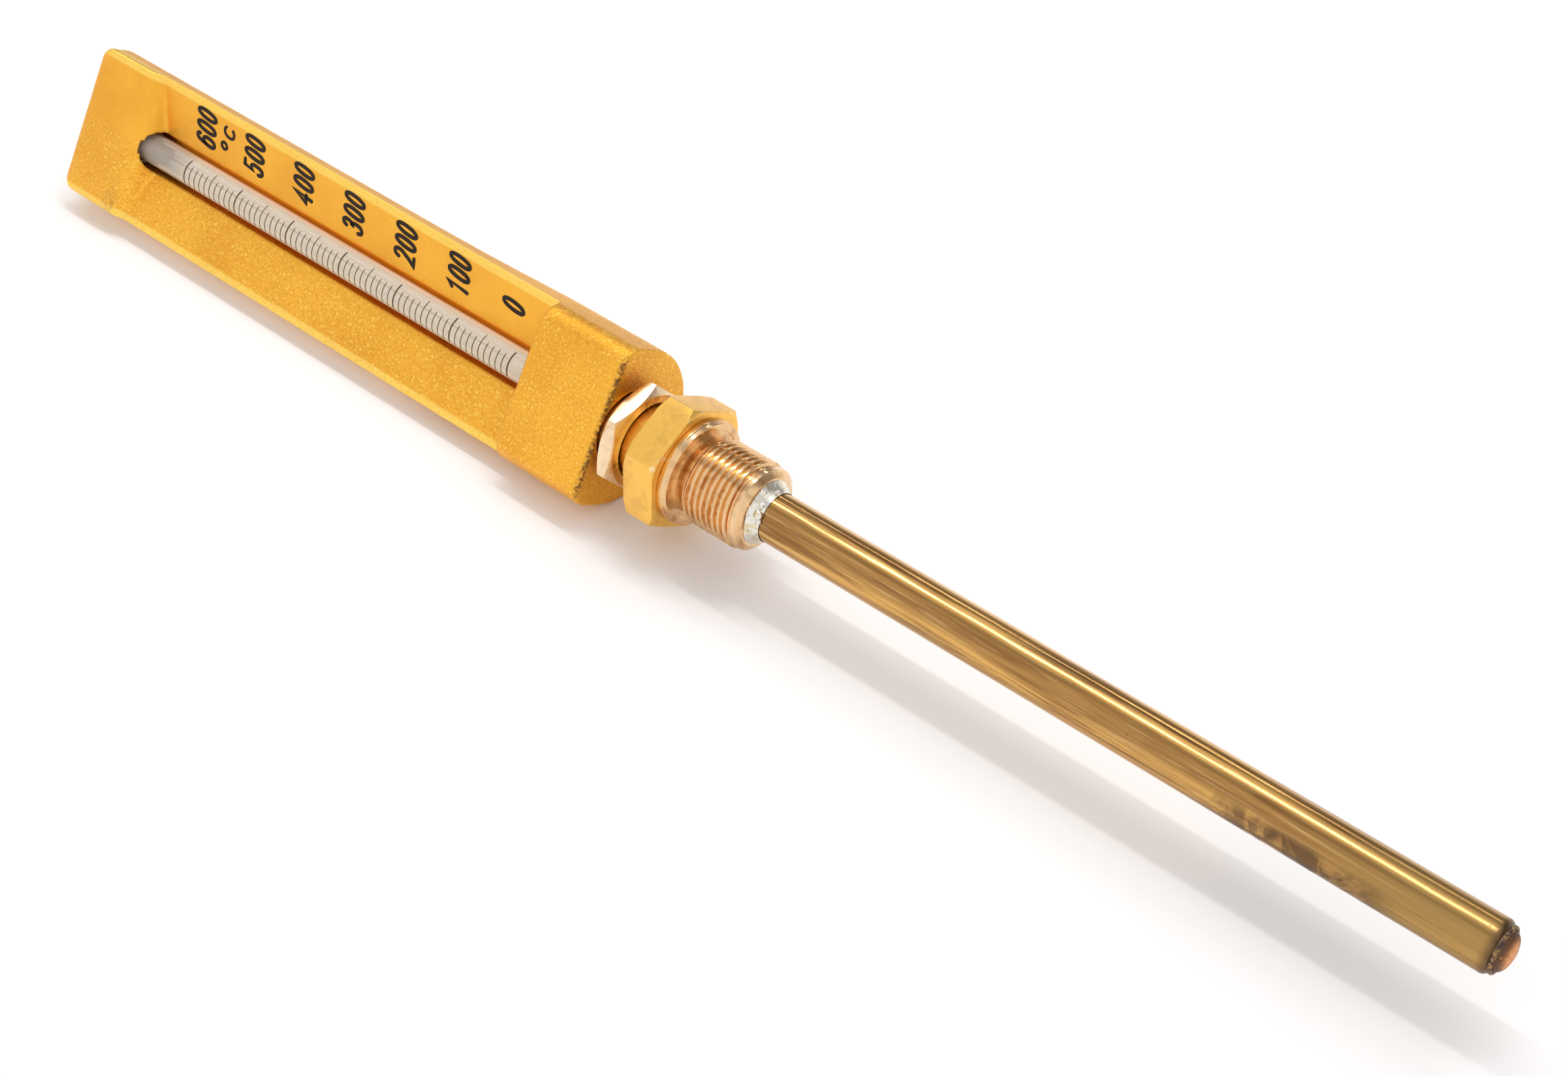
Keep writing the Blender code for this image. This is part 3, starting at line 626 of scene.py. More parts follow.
def rounded(outline, radius, steps=4):
    """The outline of (x, r) points with its corners rounded, except those on the axis."""
    made = []
    count = len(outline)
    for i, here in enumerate(outline):
        before, after = Vector(outline[i - 1]), Vector(outline[(i + 1) % count])
        spot = Vector(here)
        back, on = before - spot, after - spot
        if here[1] == 0 or back.length == 0 or on.length == 0:
            made.append(here)
            continue
        reach = min(radius, back.length * 0.45, on.length * 0.45)
        first, last = spot + back.normalized() * reach, spot + on.normalized() * reach
        for k in range(steps + 1):
            t = k / steps
            bend = first * (1 - t) ** 2 + spot * 2 * t * (1 - t) + last * t**2
            made.append((bend.x, bend.y))
    return made


def lofted(name, sections):
    """A body through closed rings of points, all with the same number of points, capped at both ends."""
    count = len(sections[0])
    points = [p for section in sections for p in section]
    faces = [list(range(count)), list(range(len(points) - count, len(points)))]
    for i in range(len(sections) - 1):
        for j in range(count):
            k = (j + 1) % count
            faces.append([i * count + j, i * count + k, (i + 1) * count + k, (i + 1) * count + j])
    return add_object(name, mesh_from(name, points, faces))


def settle(item):
    """Applies the modifiers of a piece to its mesh."""
    graph = bpy.context.evaluated_depsgraph_get()
    mesh = bpy.data.meshes.new_from_object(item.evaluated_get(graph), depsgraph=graph)
    item.modifiers.clear()
    old, item.data = item.data, mesh
    bpy.data.meshes.remove(old)
    mesh.name = item.name
    return item


def modify(item, kind, **values):
    """Adds a modifier, which settle applies."""
    modifier = item.modifiers.new(kind.lower(), kind)
    for key, value in values.items():
        setattr(modifier, key, value)


def combine(target, tool, operation):
    """Joins a tool with the target, or cuts the target with it, and removes the tool."""
    modify(target, "BOOLEAN", operation=operation, object=tool, solver="EXACT")
    settle(target)
    bpy.data.objects.remove(tool)


def soften_edges(item, width):
    """Small bevels on the sharp edges."""
    modify(item, "BEVEL", width=width, segments=3, limit_method="ANGLE", angle_limit=math.radians(28))
    settle(item)
    smooth(item.data, 40)


def prism(name, outline, place, depth):
    """Straight prism: place(a, b, c) gives the point of outline point (a, b) at the depth c."""
    sections = [[place(a, b, c) for a, b in outline] for c in (-depth / 2, depth / 2)]
    return lofted(name, sections)


def finished(item, finish, body, slot, *nodes, roll=False):
    """Paints a piece, rolls one of the casing into place, lets it ride on its body and hides the CAD pieces it stands
    for.
    """
    paint(item, finish)
    if roll:
        item.data.transform(Matrix.Rotation(ROLL, 4, "X"))
    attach(item, body)
    if nodes:
        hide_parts(*nodes)


# Casing


def back_height(across, roundness, half_width, bore_radius):
    """Height of the casing's back at a distance across it, from a V with a keel (0) to the round boss (1)."""
    keel_radius = bore_radius + 2.1 * MM
    slope = 1 * MM - 0.323 * (half_width - abs(across))
    keel = -math.sqrt(max(keel_radius**2 - across**2, 0))
    round_back = -math.sqrt(max(half_width**2 - across**2, 0))
    return (1 - roundness) * min(slope, keel) + roundness * round_back


def casing_section(settings, x, front, corner, roundness, inset=0.0):
    """One ring of the casing's outside, as points at x: front with rounded corners, sides and back."""
    half_width = settings.width / 2
    half = half_width - inset
    top = front - inset / 3
    left = arc((-half + corner, top - corner), corner, 180, 90)
    right = arc((half - corner, top - corner), corner, 90, 0)
    back = []
    steps = 60
    for i in range(steps + 1):
        across = math.cos(math.pi * i / steps)
        height = back_height(across * half_width, roundness, half_width, settings.bore_radius)
        back.append((across * half, height + inset / 2))
    return [Vector((x, y, z)) for y, z in left + right + back]


def channel(settings, boss_top_x):
    """Head and channel: a rounded end, a straight run and the swell towards the boss."""
    end_corner, edge, swell = 2.8 * MM, 1 * MM, 36 * MM
    rows = []
    for i in range(13):
        turn = math.pi / 2 * i / 12
        rows.append((CASING_TOP_X + end_corner * (1 - math.cos(turn)), 0.0, end_corner * (1 - math.sin(turn))))
    for i in range(25):
        share_of = i / 24
        rows.append((boss_top_x - swell * (1 - share_of), share_of**2 * (3 - 2 * share_of), 0.0))
    rows.append((boss_top_x + settings.boss_length / 2, 1.0, 0.0))
    rings = [casing_section(settings, x, settings.head_front, edge, roundness, inset) for x, roundness, inset in rows]
    return lofted("casing_shell", rings)


def trough(settings, boss_top_x, head_face_end_x):
    """The open trough: rims, sloping faces and floor, ended by a steep wall with a large rounded edge."""
    above, beside = 24 * MM, settings.width
    half = settings.width / 2
    across = [
        (-beside, above),
        (-beside, settings.rim_front),
        (-half + settings.rim_land, settings.rim_front),
        (-settings.lip_half, settings.lip_front),
        (settings.lip_half, settings.lip_front),
        (half - settings.rim_land, settings.rim_front),
        (beside, settings.rim_front),
        (beside, above),
    ]
    middle = (head_face_end_x + boss_top_x) / 2
    hollow = prism("trough", across, lambda a, b, c: Vector((middle + c, a, b)), 150 * MM)
    lean, bend = 62, 5 * MM
    edge = arc((head_face_end_x, settings.head_front - bend), bend, 90, 90 - lean)
    drop = edge[-1][1] + settings.bore_radius
    foot = (edge[-1][0] + drop / math.tan(math.radians(lean)), edge[-1][1] - drop)
    along = [(head_face_end_x, above), *edge, foot, (boss_top_x, foot[1]), (boss_top_x, above)]
    combine(hollow, prism("trough_limit", along, lambda a, b, c: Vector((a, c, b)), 3 * settings.width), "INTERSECT")
    return hollow


def wear_casing(mesh, settings):
    """Small unevenness of the casting, and a chipped front edge at the end of the boss."""
    edge_z = settings.boss_front - 1.6 * MM
    normals = [vertex.normal.copy() for vertex in mesh.vertices]
    for vertex, normal in zip(mesh.vertices, normals):
        spot = vertex.co.copy()
        uneven = (noise.noise(spot * 900) * 0.02 + noise.noise(spot * 260) * 0.03 - 0.045) * MM
        vertex.co += normal * uneven
        near_end = clamped((spot.x - CASING_END_X + 1.0 * MM) / (0.8 * MM))
        near_front = clamped((spot.z - edge_z) / (1.2 * MM))
        if near_end and near_front:
            bite = max(0.0, noise.noise(spot * 1500) + 0.25) + max(0.0, noise.noise(spot * 3400)) * 0.6
            vertex.co -= Vector((0.3, 0, 0.24)) * MM * bite * near_end * near_front


def make_casing(settings, finish):
    boss_top_x = CASING_END_X - settings.boss_length
    head_face_end_x = CASING_TOP_X + settings.head_length
    body = channel(settings, boss_top_x)
    ends = (boss_top_x, CASING_END_X)
    rings = [casing_section(settings, x, settings.boss_front, settings.boss_corner, 1.0) for x in ends]
    combine(body, trough(settings, boss_top_x, head_face_end_x), "DIFFERENCE")
    combine(body, lofted("boss", rings), "UNION")
    bore, neck_hole = settings.bore_radius, 7.3 * MM
    wall_run, bore_in_head, seat_above_neck = 4.41 * MM, 10 * MM, 1.8 * MM
    bore_top_x = head_face_end_x + wall_run - bore_in_head
    bore_end_x, past_end = NECK_TOP_X - seat_above_neck, CASING_END_X + 5 * MM
    bores = [(bore_top_x, 0), (bore_top_x, bore), (bore_end_x, bore)]
    bores += [(bore_end_x, neck_hole), (past_end, neck_hole), (past_end, 0)]
    combine(body, turned("bores", bores), "DIFFERENCE")
    modify(body, "REMESH", mode="VOXEL", voxel_size=settings.cell)
    modify(body, "SMOOTH", factor=0.5, iterations=3)
    settle(body)
    wear_casing(body.data, settings)
    body.data.shade_smooth()
    finished(body, finish, CASING_BODY, "gold_casing", "casing", roll=True)


# Numbers


def loop(cx, cy, rx, ry, start=90, end=450, steps=36, square=2.3):
    """Points of a rounded oval, from the start angle to the end angle in degrees."""
    made = []
    for i in range(steps + 1):
        turn = math.radians(start + (end - start) * i / steps)
        c, s = math.cos(turn), math.sin(turn)
        x, y = (math.copysign(abs(v) ** (2 / square), v) for v in (c, s))
        made.append((cx + rx * x, cy + ry * y))
    return made


# Each sign as centre lines of its strokes, in a field one wide and one high
SIGNS = {
    "0": [loop(0.5, 0.5, 0.5, 0.5)],
    "1": [[(0.12, 0.78), (0.4, 0.86), (0.62, 1.0), (0.62, 0.0)]],
    "2": [[*loop(0.5, 0.74, 0.48, 0.26, 172, -28, 20), (0.55, 0.3), (0.0, 0.0), (1.0, 0.0)]],
    "3": [[*loop(0.48, 0.76, 0.44, 0.24, 165, -80, 20), *loop(0.48, 0.27, 0.5, 0.27, 80, -165, 22)]],
    "4": [[(0.74, 0.0), (0.74, 1.0), (0.0, 0.3), (1.0, 0.3)]],
    "5": [[(0.92, 1.0), (0.22, 1.0), (0.1, 0.54), *loop(0.48, 0.32, 0.5, 0.32, 115, -165, 24)]],
    "6": [[*loop(0.52, 0.74, 0.44, 0.26, 25, 150, 12), *loop(0.5, 0.32, 0.5, 0.32, 160, 520, 34)]],
    "C": [loop(0.5, 0.5, 0.5, 0.5, 42, 318, 30)],
    "degree": [loop(0.5, 0.5, 0.5, 0.5, 90, 450, 24, 2.0)],
}


def stroke_patch(path, half):
    """A flat band round a centre line, with round ends unless the line closes on itself: points and faces."""
    line = [Vector(p) for p in path]
    closed = (line[0] - line[-1]).length < 1e-6
    if closed:
        line.pop()
    count = len(line)
    points, faces = [], []
    for i, spot in enumerate(line):
        before = line[i - 1] if closed or i else spot
        after = line[(i + 1) % count] if closed or i < count - 1 else spot
        back = (spot - before).normalized() if spot != before else (after - spot).normalized()
        on = (after - spot).normalized() if after != spot else back
        run = (back + on).normalized()
        side = Vector((-run.y, run.x))
        reach = half / max(0.55, abs(side.dot(Vector((-on.y, on.x)))))
        points += [spot + side * reach, spot - side * reach]
    for i in range(count if closed else count - 1):
        a, b = 2 * i, 2 * ((i + 1) % count)
        faces.append([a, a + 1, b + 1, b])
    if not closed:
        for end, other in ((0, 1), (count - 1, count - 2)):
            away = (line[end] - line[other]).normalized()
            turn = math.atan2(away.y, away.x)
            turns = [turn + math.pi * (k / 8 - 0.5) for k in range(9)]
            cap = [line[end] + Vector((math.cos(a), math.sin(a))) * half for a in turns]
            faces.append(list(range(len(points), len(points) + len(cap))))
            points += cap
    return points, faces


def number_mesh(name, signs, place, width, height, pitch, stroke):
    """Signs in a row, centred: place(u, v, w) gives the point at u along the row, v up it and w off the face."""
    points, faces = [], []
    first = -pitch * (len(signs) - 1) / 2
    for i, sign in enumerate(signs):
        for path in SIGNS[sign]:
            scaled = []
            for a, b in path:
                v = (b - 0.5) * (height - stroke)
                scaled.append((first + i * pitch + (a - 0.5) * (width - stroke) + v * PRINT_SLANT, v))
            flat, patch_faces = stroke_patch(scaled, stroke / 2)
            base, count = len(points), len(flat)
            points += [place(p.x, p.y, PRINT_THICKNESS) for p in flat] + [place(p.x, p.y, 0.0) for p in flat]
            sides = {}
            for face in patch_faces:
                faces.append([base + k for k in face])
                faces.append([base + count + k for k in reversed(face)])
                for a, b in zip(face, face[1:] + face[:1]):
                    sides[(a, b)] = True
            for a, b in sides:
                if (b, a) not in sides:
                    faces.append([base + a, base + count + a, base + count + b, base + b])
    return mesh_from(name, points, faces, 30)


def make_numbers(settings, finish):
    """0 to 600 and the degree sign, printed on the sloping face of the trough."""
    half = settings.width / 2
    rise = settings.rim_front - settings.lip_front
    run = half - settings.rim_land - settings.lip_half
    slope = math.atan2(rise, run)
    along = Vector((0, math.cos(slope), math.sin(slope)))
    off = Vector((0, -math.sin(slope), math.cos(slope)))
    lift, sunk, first_above_boss = 0.03 * MM, 0.02 * MM, 10.9 * MM
    first_x = CASING_END_X - settings.boss_length - first_above_boss

    def face_place(x, across):
        lip = Vector((x, settings.lip_half, settings.lip_front))
        root = lip + along * (across - settings.lip_half) / math.cos(slope)
        return lambda u, v, w: root + along * u - Vector((v, 0, 0)) + off * (w + lift - sunk)

    def printed(name, signs, x, across, width, height, pitch, stroke):
        mesh = number_mesh(name, signs, face_place(x, across), width, height, pitch, stroke)
        finished(add_object(name, mesh), finish, CASING_BODY, "gold_casing", roll=True)

    height, stroke = settings.number_height, settings.stroke
    for i in range(7):
        x = first_x - settings.number_pitch * i
        printed(f"number_{100 * i}", str(100 * i), x, 10.05 * MM, 2.35 * MM, height, 2.72 * MM, stroke)
    unit_x = first_x - settings.number_pitch * 6 + 6.4 * MM
    printed("unit_letter", ["C"], unit_x + 0.4 * MM, 11.6 * MM, 2.7 * MM, 3.4 * MM, 0, 0.62 * MM)
    printed("unit_ring", ["degree"], unit_x - 0.9 * MM, 8.5 * MM, 2.0 * MM, 2.2 * MM, 0, 0.62 * MM)


# Glass


def make_glass(settings, finishes):
    """The scale glass, the enamel and the fine bore behind its front."""
    radius, top_round = settings.radius, 0.8 * MM
    top = arc((GLASS_TOP_X + top_round, radius - top_round), top_round, 180, 90)
    outline = [(GLASS_TOP_X, 0), *top]
    steps, straight = 24, GLASS_END_X - GLASS_TOP_X - 2 * top_round
    outline += [(GLASS_TOP_X + top_round + straight * i / steps, radius) for i in range(1, steps)]
    outline += [(GLASS_END_X - 0.3 * MM, radius), (GLASS_END_X, radius - 0.3 * MM), (GLASS_END_X, 0)]
    rod = turned("scale_glass", outline, 72)
    finished(rod, finishes["milk"], CASING_BODY, "milk_glass", "glass_rod", roll=True)

    outer, inner = radius - 0.35 * MM, radius - 0.75 * MM
    start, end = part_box("enamel_backing")[0].x - 4 * MM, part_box("enamel_backing")[1].x + 3 * MM
    band = arc((0, 0), outer, -205, 25, 36) + arc((0, 0), inner, 25, -205, 36)
    middle = (start + end) / 2
    strip = prism("enamel_strip", band, lambda a, b, c: Vector((middle + c, a, b)), end - start)
    finished(strip, finishes["enamel"], CASING_BODY, "white_enamel", "enamel_backing", roll=True)

    wall = [(start, 0.12 * MM), (start, 0.2 * MM), (end, 0.2 * MM), (end, 0.12 * MM)]
    finished(turned("capillary_bore", wall, 16), finishes["mark"], CASING_BODY, "clear_glass", roll=True)


def make_graduations(settings, boss_length, finish):
    """Marks on the front of the glass: every ten degrees, longer at fifties and thickest at hundreds."""
    zero_x = CASING_END_X - boss_length - settings.zero_above_boss
    points, faces = [], []
    per_hundred, steps = 10, 16
    for i in range(settings.divisions + 1):
        x = zero_x - settings.hundred * i / per_hundred
        if i % per_hundred == 0:
            half, start, end = 0.17 * MM, -50, 52
        elif i % 5 == 0:
            half, start, end = 0.1 * MM, -58, 52
        else:
            half, start, end = 0.095 * MM, -52, 30
        base = len(points)
        for k in range(steps + 1):
            turn = math.radians(start + (end - start) * k / steps)
            narrow = half * (0.55 if k in (0, steps) else 1.0)
            for radius in (settings.radius - 0.03 * MM, settings.radius + 0.025 * MM):
                for side in (-narrow, narrow):
                    points.append(Vector((x + side, radius * math.sin(turn), radius * math.cos(turn))))
        for k in range(steps):
            a, b = base + 4 * k, base + 4 * (k + 1)
            for p, q in ((0, 1), (1, 3), (3, 2), (2, 0)):
                faces.append([a + p, a + q, b + q, b + p])
        last = base + 4 * steps
        faces += [[base, base + 1, base + 3, base + 2], [last, last + 1, last + 3, last + 2]]
    marks = add_object("graduations", mesh_from("graduations", points, faces))
    finished(marks, finish, CASING_BODY, "milk_glass", roll=True)


# Connector, lock nut and solder


def hexagon(name, start, length, across_flats, roll, chamfer_radius):
    """Hexagonal prism along X whose corners are turned down at both ends to chamfer_radius."""
    corner_radius = across_flats / math.sqrt(3)
    sections = []
    for x in (start, start + length):
        turns = [roll + math.radians(60 * k) for k in range(6)]
        sections.append([Vector((x, corner_radius * math.cos(a), corner_radius * math.sin(a))) for a in turns])
    body = lofted(name, sections)
    rise = (corner_radius - chamfer_radius) * math.tan(math.radians(30))
    end, beyond = start + length, corner_radius * 1.1
    lens = [(start, 0), (start, chamfer_radius), (start + rise, corner_radius), (start + rise, beyond)]
    lens += [(end - rise, beyond), (end - rise, corner_radius), (end, chamfer_radius), (end, 0)]
    combine(body, turned(f"{name}_lens", lens, 144), "INTERSECT")
    return body


def make_hexagon(settings, finish):
    """The connector's hexagon with the neck above it."""
    end_x = -settings.collar_length
    start_x = end_x - settings.hexagon_length
    across = settings.across_flats
    body = hexagon("hexagon", start_x, settings.hexagon_length, across, math.pi / 2, across / 2 * 1.05)
    radius = settings.neck_radius
    neck = [(NECK_TOP_X, 0), (NECK_TOP_X, radius - GAP), (NECK_TOP_X + GAP, radius)]
    neck += [(start_x + GAP, radius), (start_x + GAP, 0)]
    combine(body, turned("neck", neck), "UNION")
    above, below = NECK_TOP_X - OVERRUN, end_x + OVERRUN
    hole = [(above, 0), (above, CONNECTOR_BORE), (below, CONNECTOR_BORE), (below, 0)]
    combine(body, turned("hole", hole, 96), "DIFFERENCE")
    soften_edges(body, 0.16 * MM)
    finished(body, finish, STEM_BODY, "brass", "connector")


def make_collar(settings, finish):
    """The collar with rounded edges and a shallow recess round the thread."""
    root = settings.thread_radius - settings.thread_depth
    top, radius, inner = -settings.collar_length + 0.02 * MM, settings.collar_radius, root - 1 * MM
    recess = settings.thread_radius + GAP
    collar = [(top, inner), (top, radius), (-0.9 * MM, radius), (-0.75 * MM, radius - 0.28 * MM)]
    collar += [(0, radius - 0.28 * MM), (0, recess), (-0.3 * MM, recess), (-0.3 * MM, inner)]
    finished(turned("collar", rounded(collar, 0.22 * MM), 160), finish, STEM_BODY, "brass")


def thread_radius_at(settings, x, turn, start_x, end_x):
    """Radius of the threaded surface: round crests and roots that fade out at both ends."""
    root = settings.thread_radius - settings.thread_depth
    pitch = settings.thread_pitch
    fade = clamped((x - start_x) / (0.9 * pitch), (end_x - x) / (0.6 * pitch))
    phase = (x / pitch - turn / (2 * math.pi)) % 1
    ridge = 1 - abs(2 * phase - 1)
    crest = clamped(ridge * 1.5 - 0.25)
    crest = crest * crest * (3 - 2 * crest)
    return root + settings.thread_depth * (0.12 + 0.88 * crest) * fade


def make_thread(settings, finish):
    """Groove, helical thread and chamfered end of the connector as one turned body."""
    groove, chamfer, bore = 1.6 * MM, 1.6 * MM, CONNECTOR_BORE
    start_x, end_x = groove, groove + settings.thread_length
    root = settings.thread_radius - settings.thread_depth
    steps, rows_per_pitch = 144, 22
    rows = round(settings.thread_length / settings.thread_pitch * rows_per_pitch)
    outline = [(-0.35 * MM, bore), (-0.35 * MM, root), (0.6 * MM, root - 0.12 * MM), (1.2 * MM, root)]
    outline += [(start_x + settings.thread_length * i / rows, root) for i in range(rows + 1)]
    land = root + 0.42 * MM
    outline += [(end_x + 0.02 * MM, land), (end_x + 0.75 * MM, land)]
    outline += [(CONNECTOR_END_X - 0.12 * MM, root - chamfer * 0.42), (CONNECTOR_END_X, root - chamfer * 0.5)]
    outline.append((CONNECTOR_END_X, bore))

    def ridge(x, turn, radius):
        if start_x < x < end_x:
            return thread_radius_at(settings, x, turn, start_x, end_x) - root
        return 0.0

    finished(turned("process_thread", outline, steps, ridge), finish, STEM_BODY, "brass")


def make_nut(settings, finish):
    start, length = NUT_START_X, NUT_END_X - NUT_START_X
    across = settings.nut_across_flats
    body = hexagon("thin_nut", start, length, across, math.radians(73.3), across / 2 * 0.97)
    radius = settings.neck_radius + GAP
    chamfer, end = 0.5 * MM, start + length
    wide, edge = radius + OVERRUN, radius + chamfer
    hole = [(start - OVERRUN, 0), (start - OVERRUN, wide), (start, edge), (start + chamfer, radius)]
    hole += [(end - chamfer, radius), (end, edge), (end + OVERRUN, wide), (end + OVERRUN, 0)]
    combine(body, turned("nut_hole", hole, 96), "DIFFERENCE")
    soften_edges(body, 0.13 * MM)
    finished(body, finish, NUT_BODY, "brass", "lock_nut")


def make_solder(tube_radius, finish):
    """Uneven cone of solder with the bead and the droplets that ran out of the joint."""
    start, inner = CONNECTOR_END_X - 0.1 * MM, tube_radius + 0.06 * MM
    full, reach = 6.4 * MM, 2.5 * MM

    def uneven(x, turn, radius):
        if radius < inner + 0.02 * MM:
            return 0.0
        coarse, fine = noise_round(x, turn, 500, 1.4), noise_round(x, turn, 500, 1.4, 3)
        return min(0.3 * MM, (coarse * 0.42 + fine * 0.12) * MM * (radius - inner) / MM)

    outline = [(start, inner)]
    for i in range(15):
        share_of = i / 14
        outline.append((start + reach * share_of, inner + (full - inner) * (1 - share_of) ** 2.1 + 0.05 * MM))
    outline.append((start + reach + 0.05 * MM, inner))
    body = turned("solder_joint", outline, 96, uneven)
    for turn, away, x, radius in ((-145, 0.25, 1.75, 0.95), (-158, 0.1, 2.2, 0.6), (-128, 0.15, 1.5, 0.55)):
        work = bmesh.new()
        side = inner + away * MM
        a = math.radians(turn)
        place = Matrix.Translation((start + x * MM, side * math.cos(a), -side * math.sin(a)))
        bmesh.ops.create_icosphere(work, subdivisions=4, radius=radius * MM, matrix=place)
        combine(body, add_object("bead", mesh_of("bead", work)), "UNION")
    keep_out = [(start - MM, 0), (start - MM, inner), (start + 8 * MM, inner), (start + 8 * MM, 0)]
    combine(body, turned("keep_out", keep_out, 96), "DIFFERENCE")
    modify(body, "SMOOTH", factor=0.5, iterations=4)
    settle(body)
    smooth(body.data, 50)
    finished(body, finish, STEM_BODY, "solder", "solder_fillet")


# Immersion tube


def make_tube(settings, finish):
    """Drawn tube with a slightly uneven wall and a rounded end."""
    radius, shoulder, inner = settings.radius, settings.shoulder, settings.radius - settings.wall
    straight_end = TUBE_END_X - shoulder
    outline = [(TUBE_START_X, inner), (TUBE_START_X, radius)]
    steps = 110
    outline += [(TUBE_START_X + (straight_end - TUBE_START_X) * i / steps, radius) for i in range(1, steps)]
    outline += arc((straight_end, radius - shoulder), shoulder, 90, 30, 10)
    outline += [(TUBE_END_X, inner + 0.25 * MM), (TUBE_END_X, inner)]

    def uneven(x, turn, at_radius):
        if at_radius < radius - 0.01 * MM:
            return 0.0
        return min(0.0, (noise_round(x, turn, 90, 0.9) - 0.35) * 0.035 * MM)

    finished(turned("drawn_tube", outline, 96, uneven), finish, STEM_BODY, "tube_brass", "immersion_tube")


def make_tip(settings, copper, dark):
    """Lumpy copper plug with the dark ring of braze round it."""
    plug_radius = settings.radius - settings.wall - 0.1 * MM
    start, dome = TUBE_END_X - 1.2 * MM, TIP_X - TUBE_END_X

    def lumps(x, turn, radius):
        return -abs(noise_round(x, turn, 700, 1.6)) * 0.28 * MM if x > TUBE_END_X else 0.0

    outline = [(start, 0), (start, plug_radius), (TUBE_END_X, plug_radius)]
    for i in range(1, 14):
        turn = math.pi / 2 * i / 14
        outline.append((TUBE_END_X + dome * math.sin(turn), plug_radius * math.cos(turn) ** 0.8))
    outline.append((TIP_X, 0))
    finished(turned("probe_plug", outline, 64, lumps), copper, STEM_BODY, "copper", "tip_plug")

    def drips(x, turn, radius):
        return noise_round(x, turn, 300, 2.2) * 0.16 * MM

    inner, outer = plug_radius - 0.2 * MM, settings.radius - 0.55 * MM
    ring = arc((TUBE_END_X + 0.16 * MM, (inner + outer) / 2), (outer - inner) / 2, -90, 270, 20)[:-1]
    ring = [(TUBE_END_X + (x - TUBE_END_X) * 1.3, r) for x, r in ring]
    finished(turned("braze_ring", ring, 72, drips), dark, STEM_BODY, "braze", "tip_braze")


# Operators


def settings_of(context):
    return context.scene.oven_thermometer


class THERMOMETER_OT_casing(bpy.types.Operator):
    """Make the cast casing"""

    bl_idname = "thermometer.casing"
    bl_label = "Casing"

    def execute(self, context):
        casing = settings_of(context).casing
        make_casing(casing, gold_finish(casing))
        return {"FINISHED"}


class THERMOMETER_OT_numbers(bpy.types.Operator):
    """Print the numbers beside the glass"""

    bl_idname = "thermometer.numbers"
    bl_label = "Numbers"

    def execute(self, context):
        casing = settings_of(context).casing
        make_numbers(casing, print_finish("number_ink", casing.ink))
        return {"FINISHED"}


class THERMOMETER_OT_glass(bpy.types.Operator):
    """Make the scale glass with its enamel and graduations"""

    bl_idname = "thermometer.glass"
    bl_label = "Scale glass"

    def execute(self, context):
        settings = settings_of(context)
        glass = settings.glass
        mark = print_finish("mark_ink", glass.mark)
        make_glass(glass, {"milk": scale_glass_finish(glass), "enamel": enamel_finish(glass), "mark": mark})
        make_graduations(glass, settings.casing.boss_length, mark)
        return {"FINISHED"}


class THERMOMETER_OT_connector(bpy.types.Operator):
    """Make the hexagon, the collar and the process thread"""

    bl_idname = "thermometer.connector"
    bl_label = "Connector"

    def execute(self, context):
        brass = settings_of(context).brass
        make_hexagon(brass, brass_finish("brushed_brass", brass.brass_yellow, brass.brass_red, 0.2, True))
        turned = brass_finish("turned_brass", brass.brass, brass.brass_red, 0.07, False)
        make_collar(brass, turned)
        make_thread(brass, turned)
        return {"FINISHED"}


class THERMOMETER_OT_nut(bpy.types.Operator):
    """Make the lock nut"""

    bl_idname = "thermometer.nut"
    bl_label = "Lock nut"

    def execute(self, context):
        brass = settings_of(context).brass
        make_nut(brass, brass_finish("nut_brass", brass.brass, brass.brass_red, 0.2, False))
        return {"FINISHED"}


class THERMOMETER_OT_solder(bpy.types.Operator):
    """Make the soldered joint"""

    bl_idname = "thermometer.solder"
    bl_label = "Solder"

    def execute(self, context):
        settings = settings_of(context)
        make_solder(settings.tube.radius, solder_finish(settings.brass))
        return {"FINISHED"}


class THERMOMETER_OT_tube(bpy.types.Operator):
    """Make the immersion tube and its tip"""

    bl_idname = "thermometer.tube"
    bl_label = "Immersion tube"

    def execute(self, context):
        tube = settings_of(context).tube
        make_tube(tube, tube_finish(tube))
        make_tip(tube, plug_finish(tube), braze_finish())
        return {"FINISHED"}


class THERMOMETER_OT_inside(bpy.types.Operator):
    """Give the pieces inside their finishes"""

    bl_idname = "thermometer.inside"
    bl_label = "Inside"

    def execute(self, context):
        fibre, filings, clear, mercury = fibre_finish(), filings_finish(), clear_glass_finish(), mercury_finish()
        finishes = {
            fibre: (
                "boss_ring", "bulb_cushion", "neck_seal", "packing_ring_1", "packing_ring_2", "packing_ring_3",
                "rod_seat", "stem_spacer", "top_cushion", "top_ring",
            ),
            filings: ("heat_fill",),
            clear: ("glass_bulb", "glass_stem"),
            mercury: ("mercury_column", "mercury_pool"),
        }
        for finish, nodes in finishes.items():
            for node in nodes:
                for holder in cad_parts[node].material_slots:
                    holder.material = finish
        return {"FINISHED"}


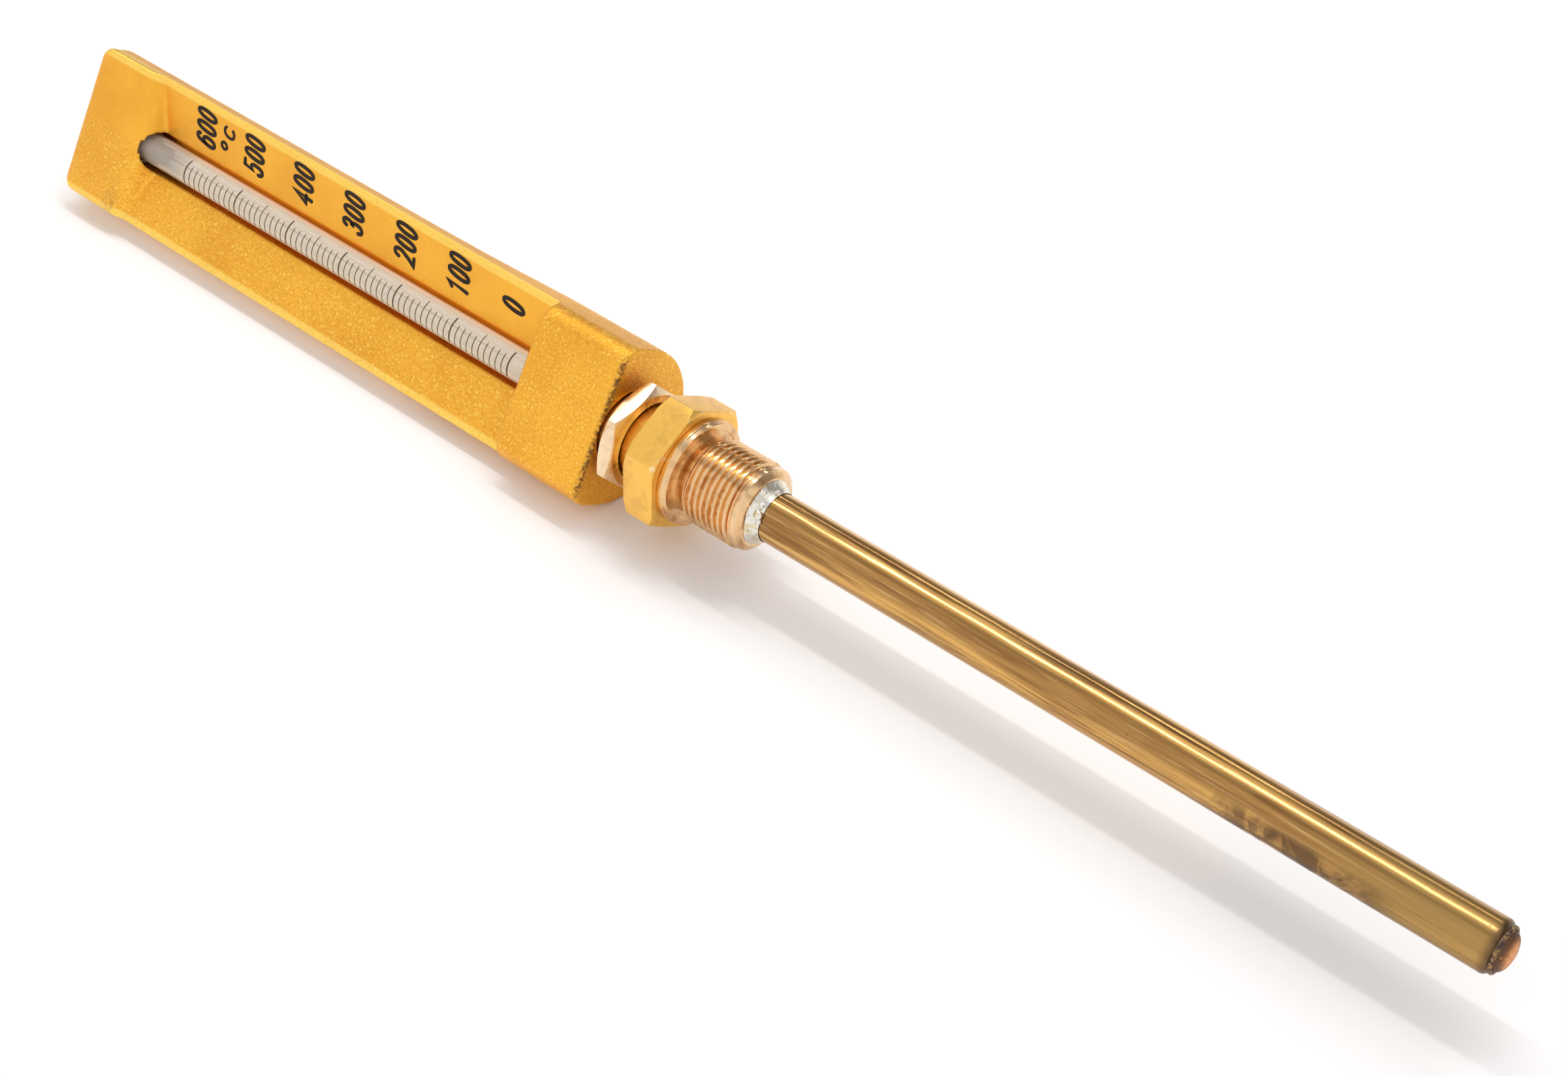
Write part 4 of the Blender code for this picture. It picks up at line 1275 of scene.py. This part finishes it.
class THERMOMETER_OT_stage(bpy.types.Operator):
    """Lay the floor and place the lights and the camera"""

    bl_idname = "thermometer.stage"
    bl_label = "Stage"

    def execute(self, context):
        stage = settings_of(context).stage
        scene = context.scene
        scene.view_settings.view_transform = "Standard"
        work = bmesh.new()
        bmesh.ops.create_grid(work, x_segments=8, y_segments=8, size=3.0)
        floor = add_object("floor", mesh_of("floor", work))
        paint(floor, floor_finish(stage))
        floor.location.z = FLOOR_Z - 0.1 * MM

        world = bpy.data.worlds.new("studio")
        scene.world = world
        world.use_nodes = True
        self.light_from_all_round(world, stage.sky)

        key = self.area_light("key", (0.05, 0.42, 0.62), (0.0, 0.0, 0.0), 0.55, 0.55, stage.key)
        key.visible_glossy = False
        self.area_light("strip", (-0.08, 0.095, 0.45), (-0.08, 0.0, 0.0), 0.39, 0.028, stage.strip)
        self.area_light("back_strip", (-0.08, 0.36, 0.26), (-0.08, 0.0, 0.0), 0.39, 0.012, stage.strip * 0.3)
        self.area_light("casing_strip", (-0.5, 0.095, 0.45), (-0.5, 0.0, 0.0), 0.33, 0.05, stage.strip * 0.55)

        camera = bpy.data.cameras.new("camera")
        camera.sensor_width = 36
        camera.lens = stage.lens
        camera.clip_start = 0.01
        holder = add_object("camera", camera)
        holder.location = CAMERA_PLACE
        holder.rotation_euler = [math.radians(angle) for angle in CAMERA_TURN]
        scene.camera = holder
        return {"FINISHED"}

    def light_from_all_round(self, world, strength):
        """A white room with a dark wall behind and a dark strip overhead, which the metal reflects."""
        room = NodeTree(world.node_tree, "Generated")
        x, y, z = room.axes()
        turn = y.maths("ARCTAN2", z, y)
        dark = (0.12, 0.1, 0.09)
        shade = room.mix(turn.sector(30, 34, 14) * 0.75, (1.0, 0.99, 0.985), dark)
        shade = room.mix(turn.sector(104, 13, 6) * 0.45, shade, dark)
        background = world.node_tree.nodes["Background"]
        room.feed(background.inputs["Color"], shade)
        room.feed(background.inputs["Strength"], strength)

    def area_light(self, name, place, target, width, height, power):
        light = bpy.data.lights.new(name, "AREA")
        light.shape = "RECTANGLE"
        light.size, light.size_y = width, height
        light.energy = power
        holder = add_object(name, light)
        holder.location = place
        holder.rotation_euler = (Vector(place) - Vector(target)).to_track_quat("Z", "Y").to_euler()
        return holder


OPERATORS = (
    THERMOMETER_OT_casing, THERMOMETER_OT_numbers, THERMOMETER_OT_glass, THERMOMETER_OT_connector,
    THERMOMETER_OT_nut, THERMOMETER_OT_solder, THERMOMETER_OT_tube, THERMOMETER_OT_inside, THERMOMETER_OT_stage,
)


class THERMOMETER_PT_panel(bpy.types.Panel):
    """Sidebar panel that lists the operators"""

    bl_idname = "THERMOMETER_PT_panel"
    bl_label = "Oven thermometer"
    bl_space_type = "VIEW_3D"
    bl_region_type = "UI"
    bl_category = "Thermometer"

    def draw(self, context):
        for operator in OPERATORS:
            self.layout.operator(operator.bl_idname)


CLASSES = (
    CasingSettings, GlassSettings, BrassSettings, TubeSettings, StageSettings, ThermometerSettings,
    *OPERATORS, THERMOMETER_PT_panel,
)


def register():
    for made in CLASSES:
        bpy.utils.register_class(made)
    bpy.types.Scene.oven_thermometer = PointerProperty(type=ThermometerSettings)


def unregister():
    del bpy.types.Scene.oven_thermometer
    for made in reversed(CLASSES):
        bpy.utils.unregister_class(made)


def main():
    register()
    for operator in OPERATORS:
        group, name = operator.bl_idname.split(".")
        getattr(getattr(bpy.ops, group), name)()


if __name__ == "__main__":
    main()
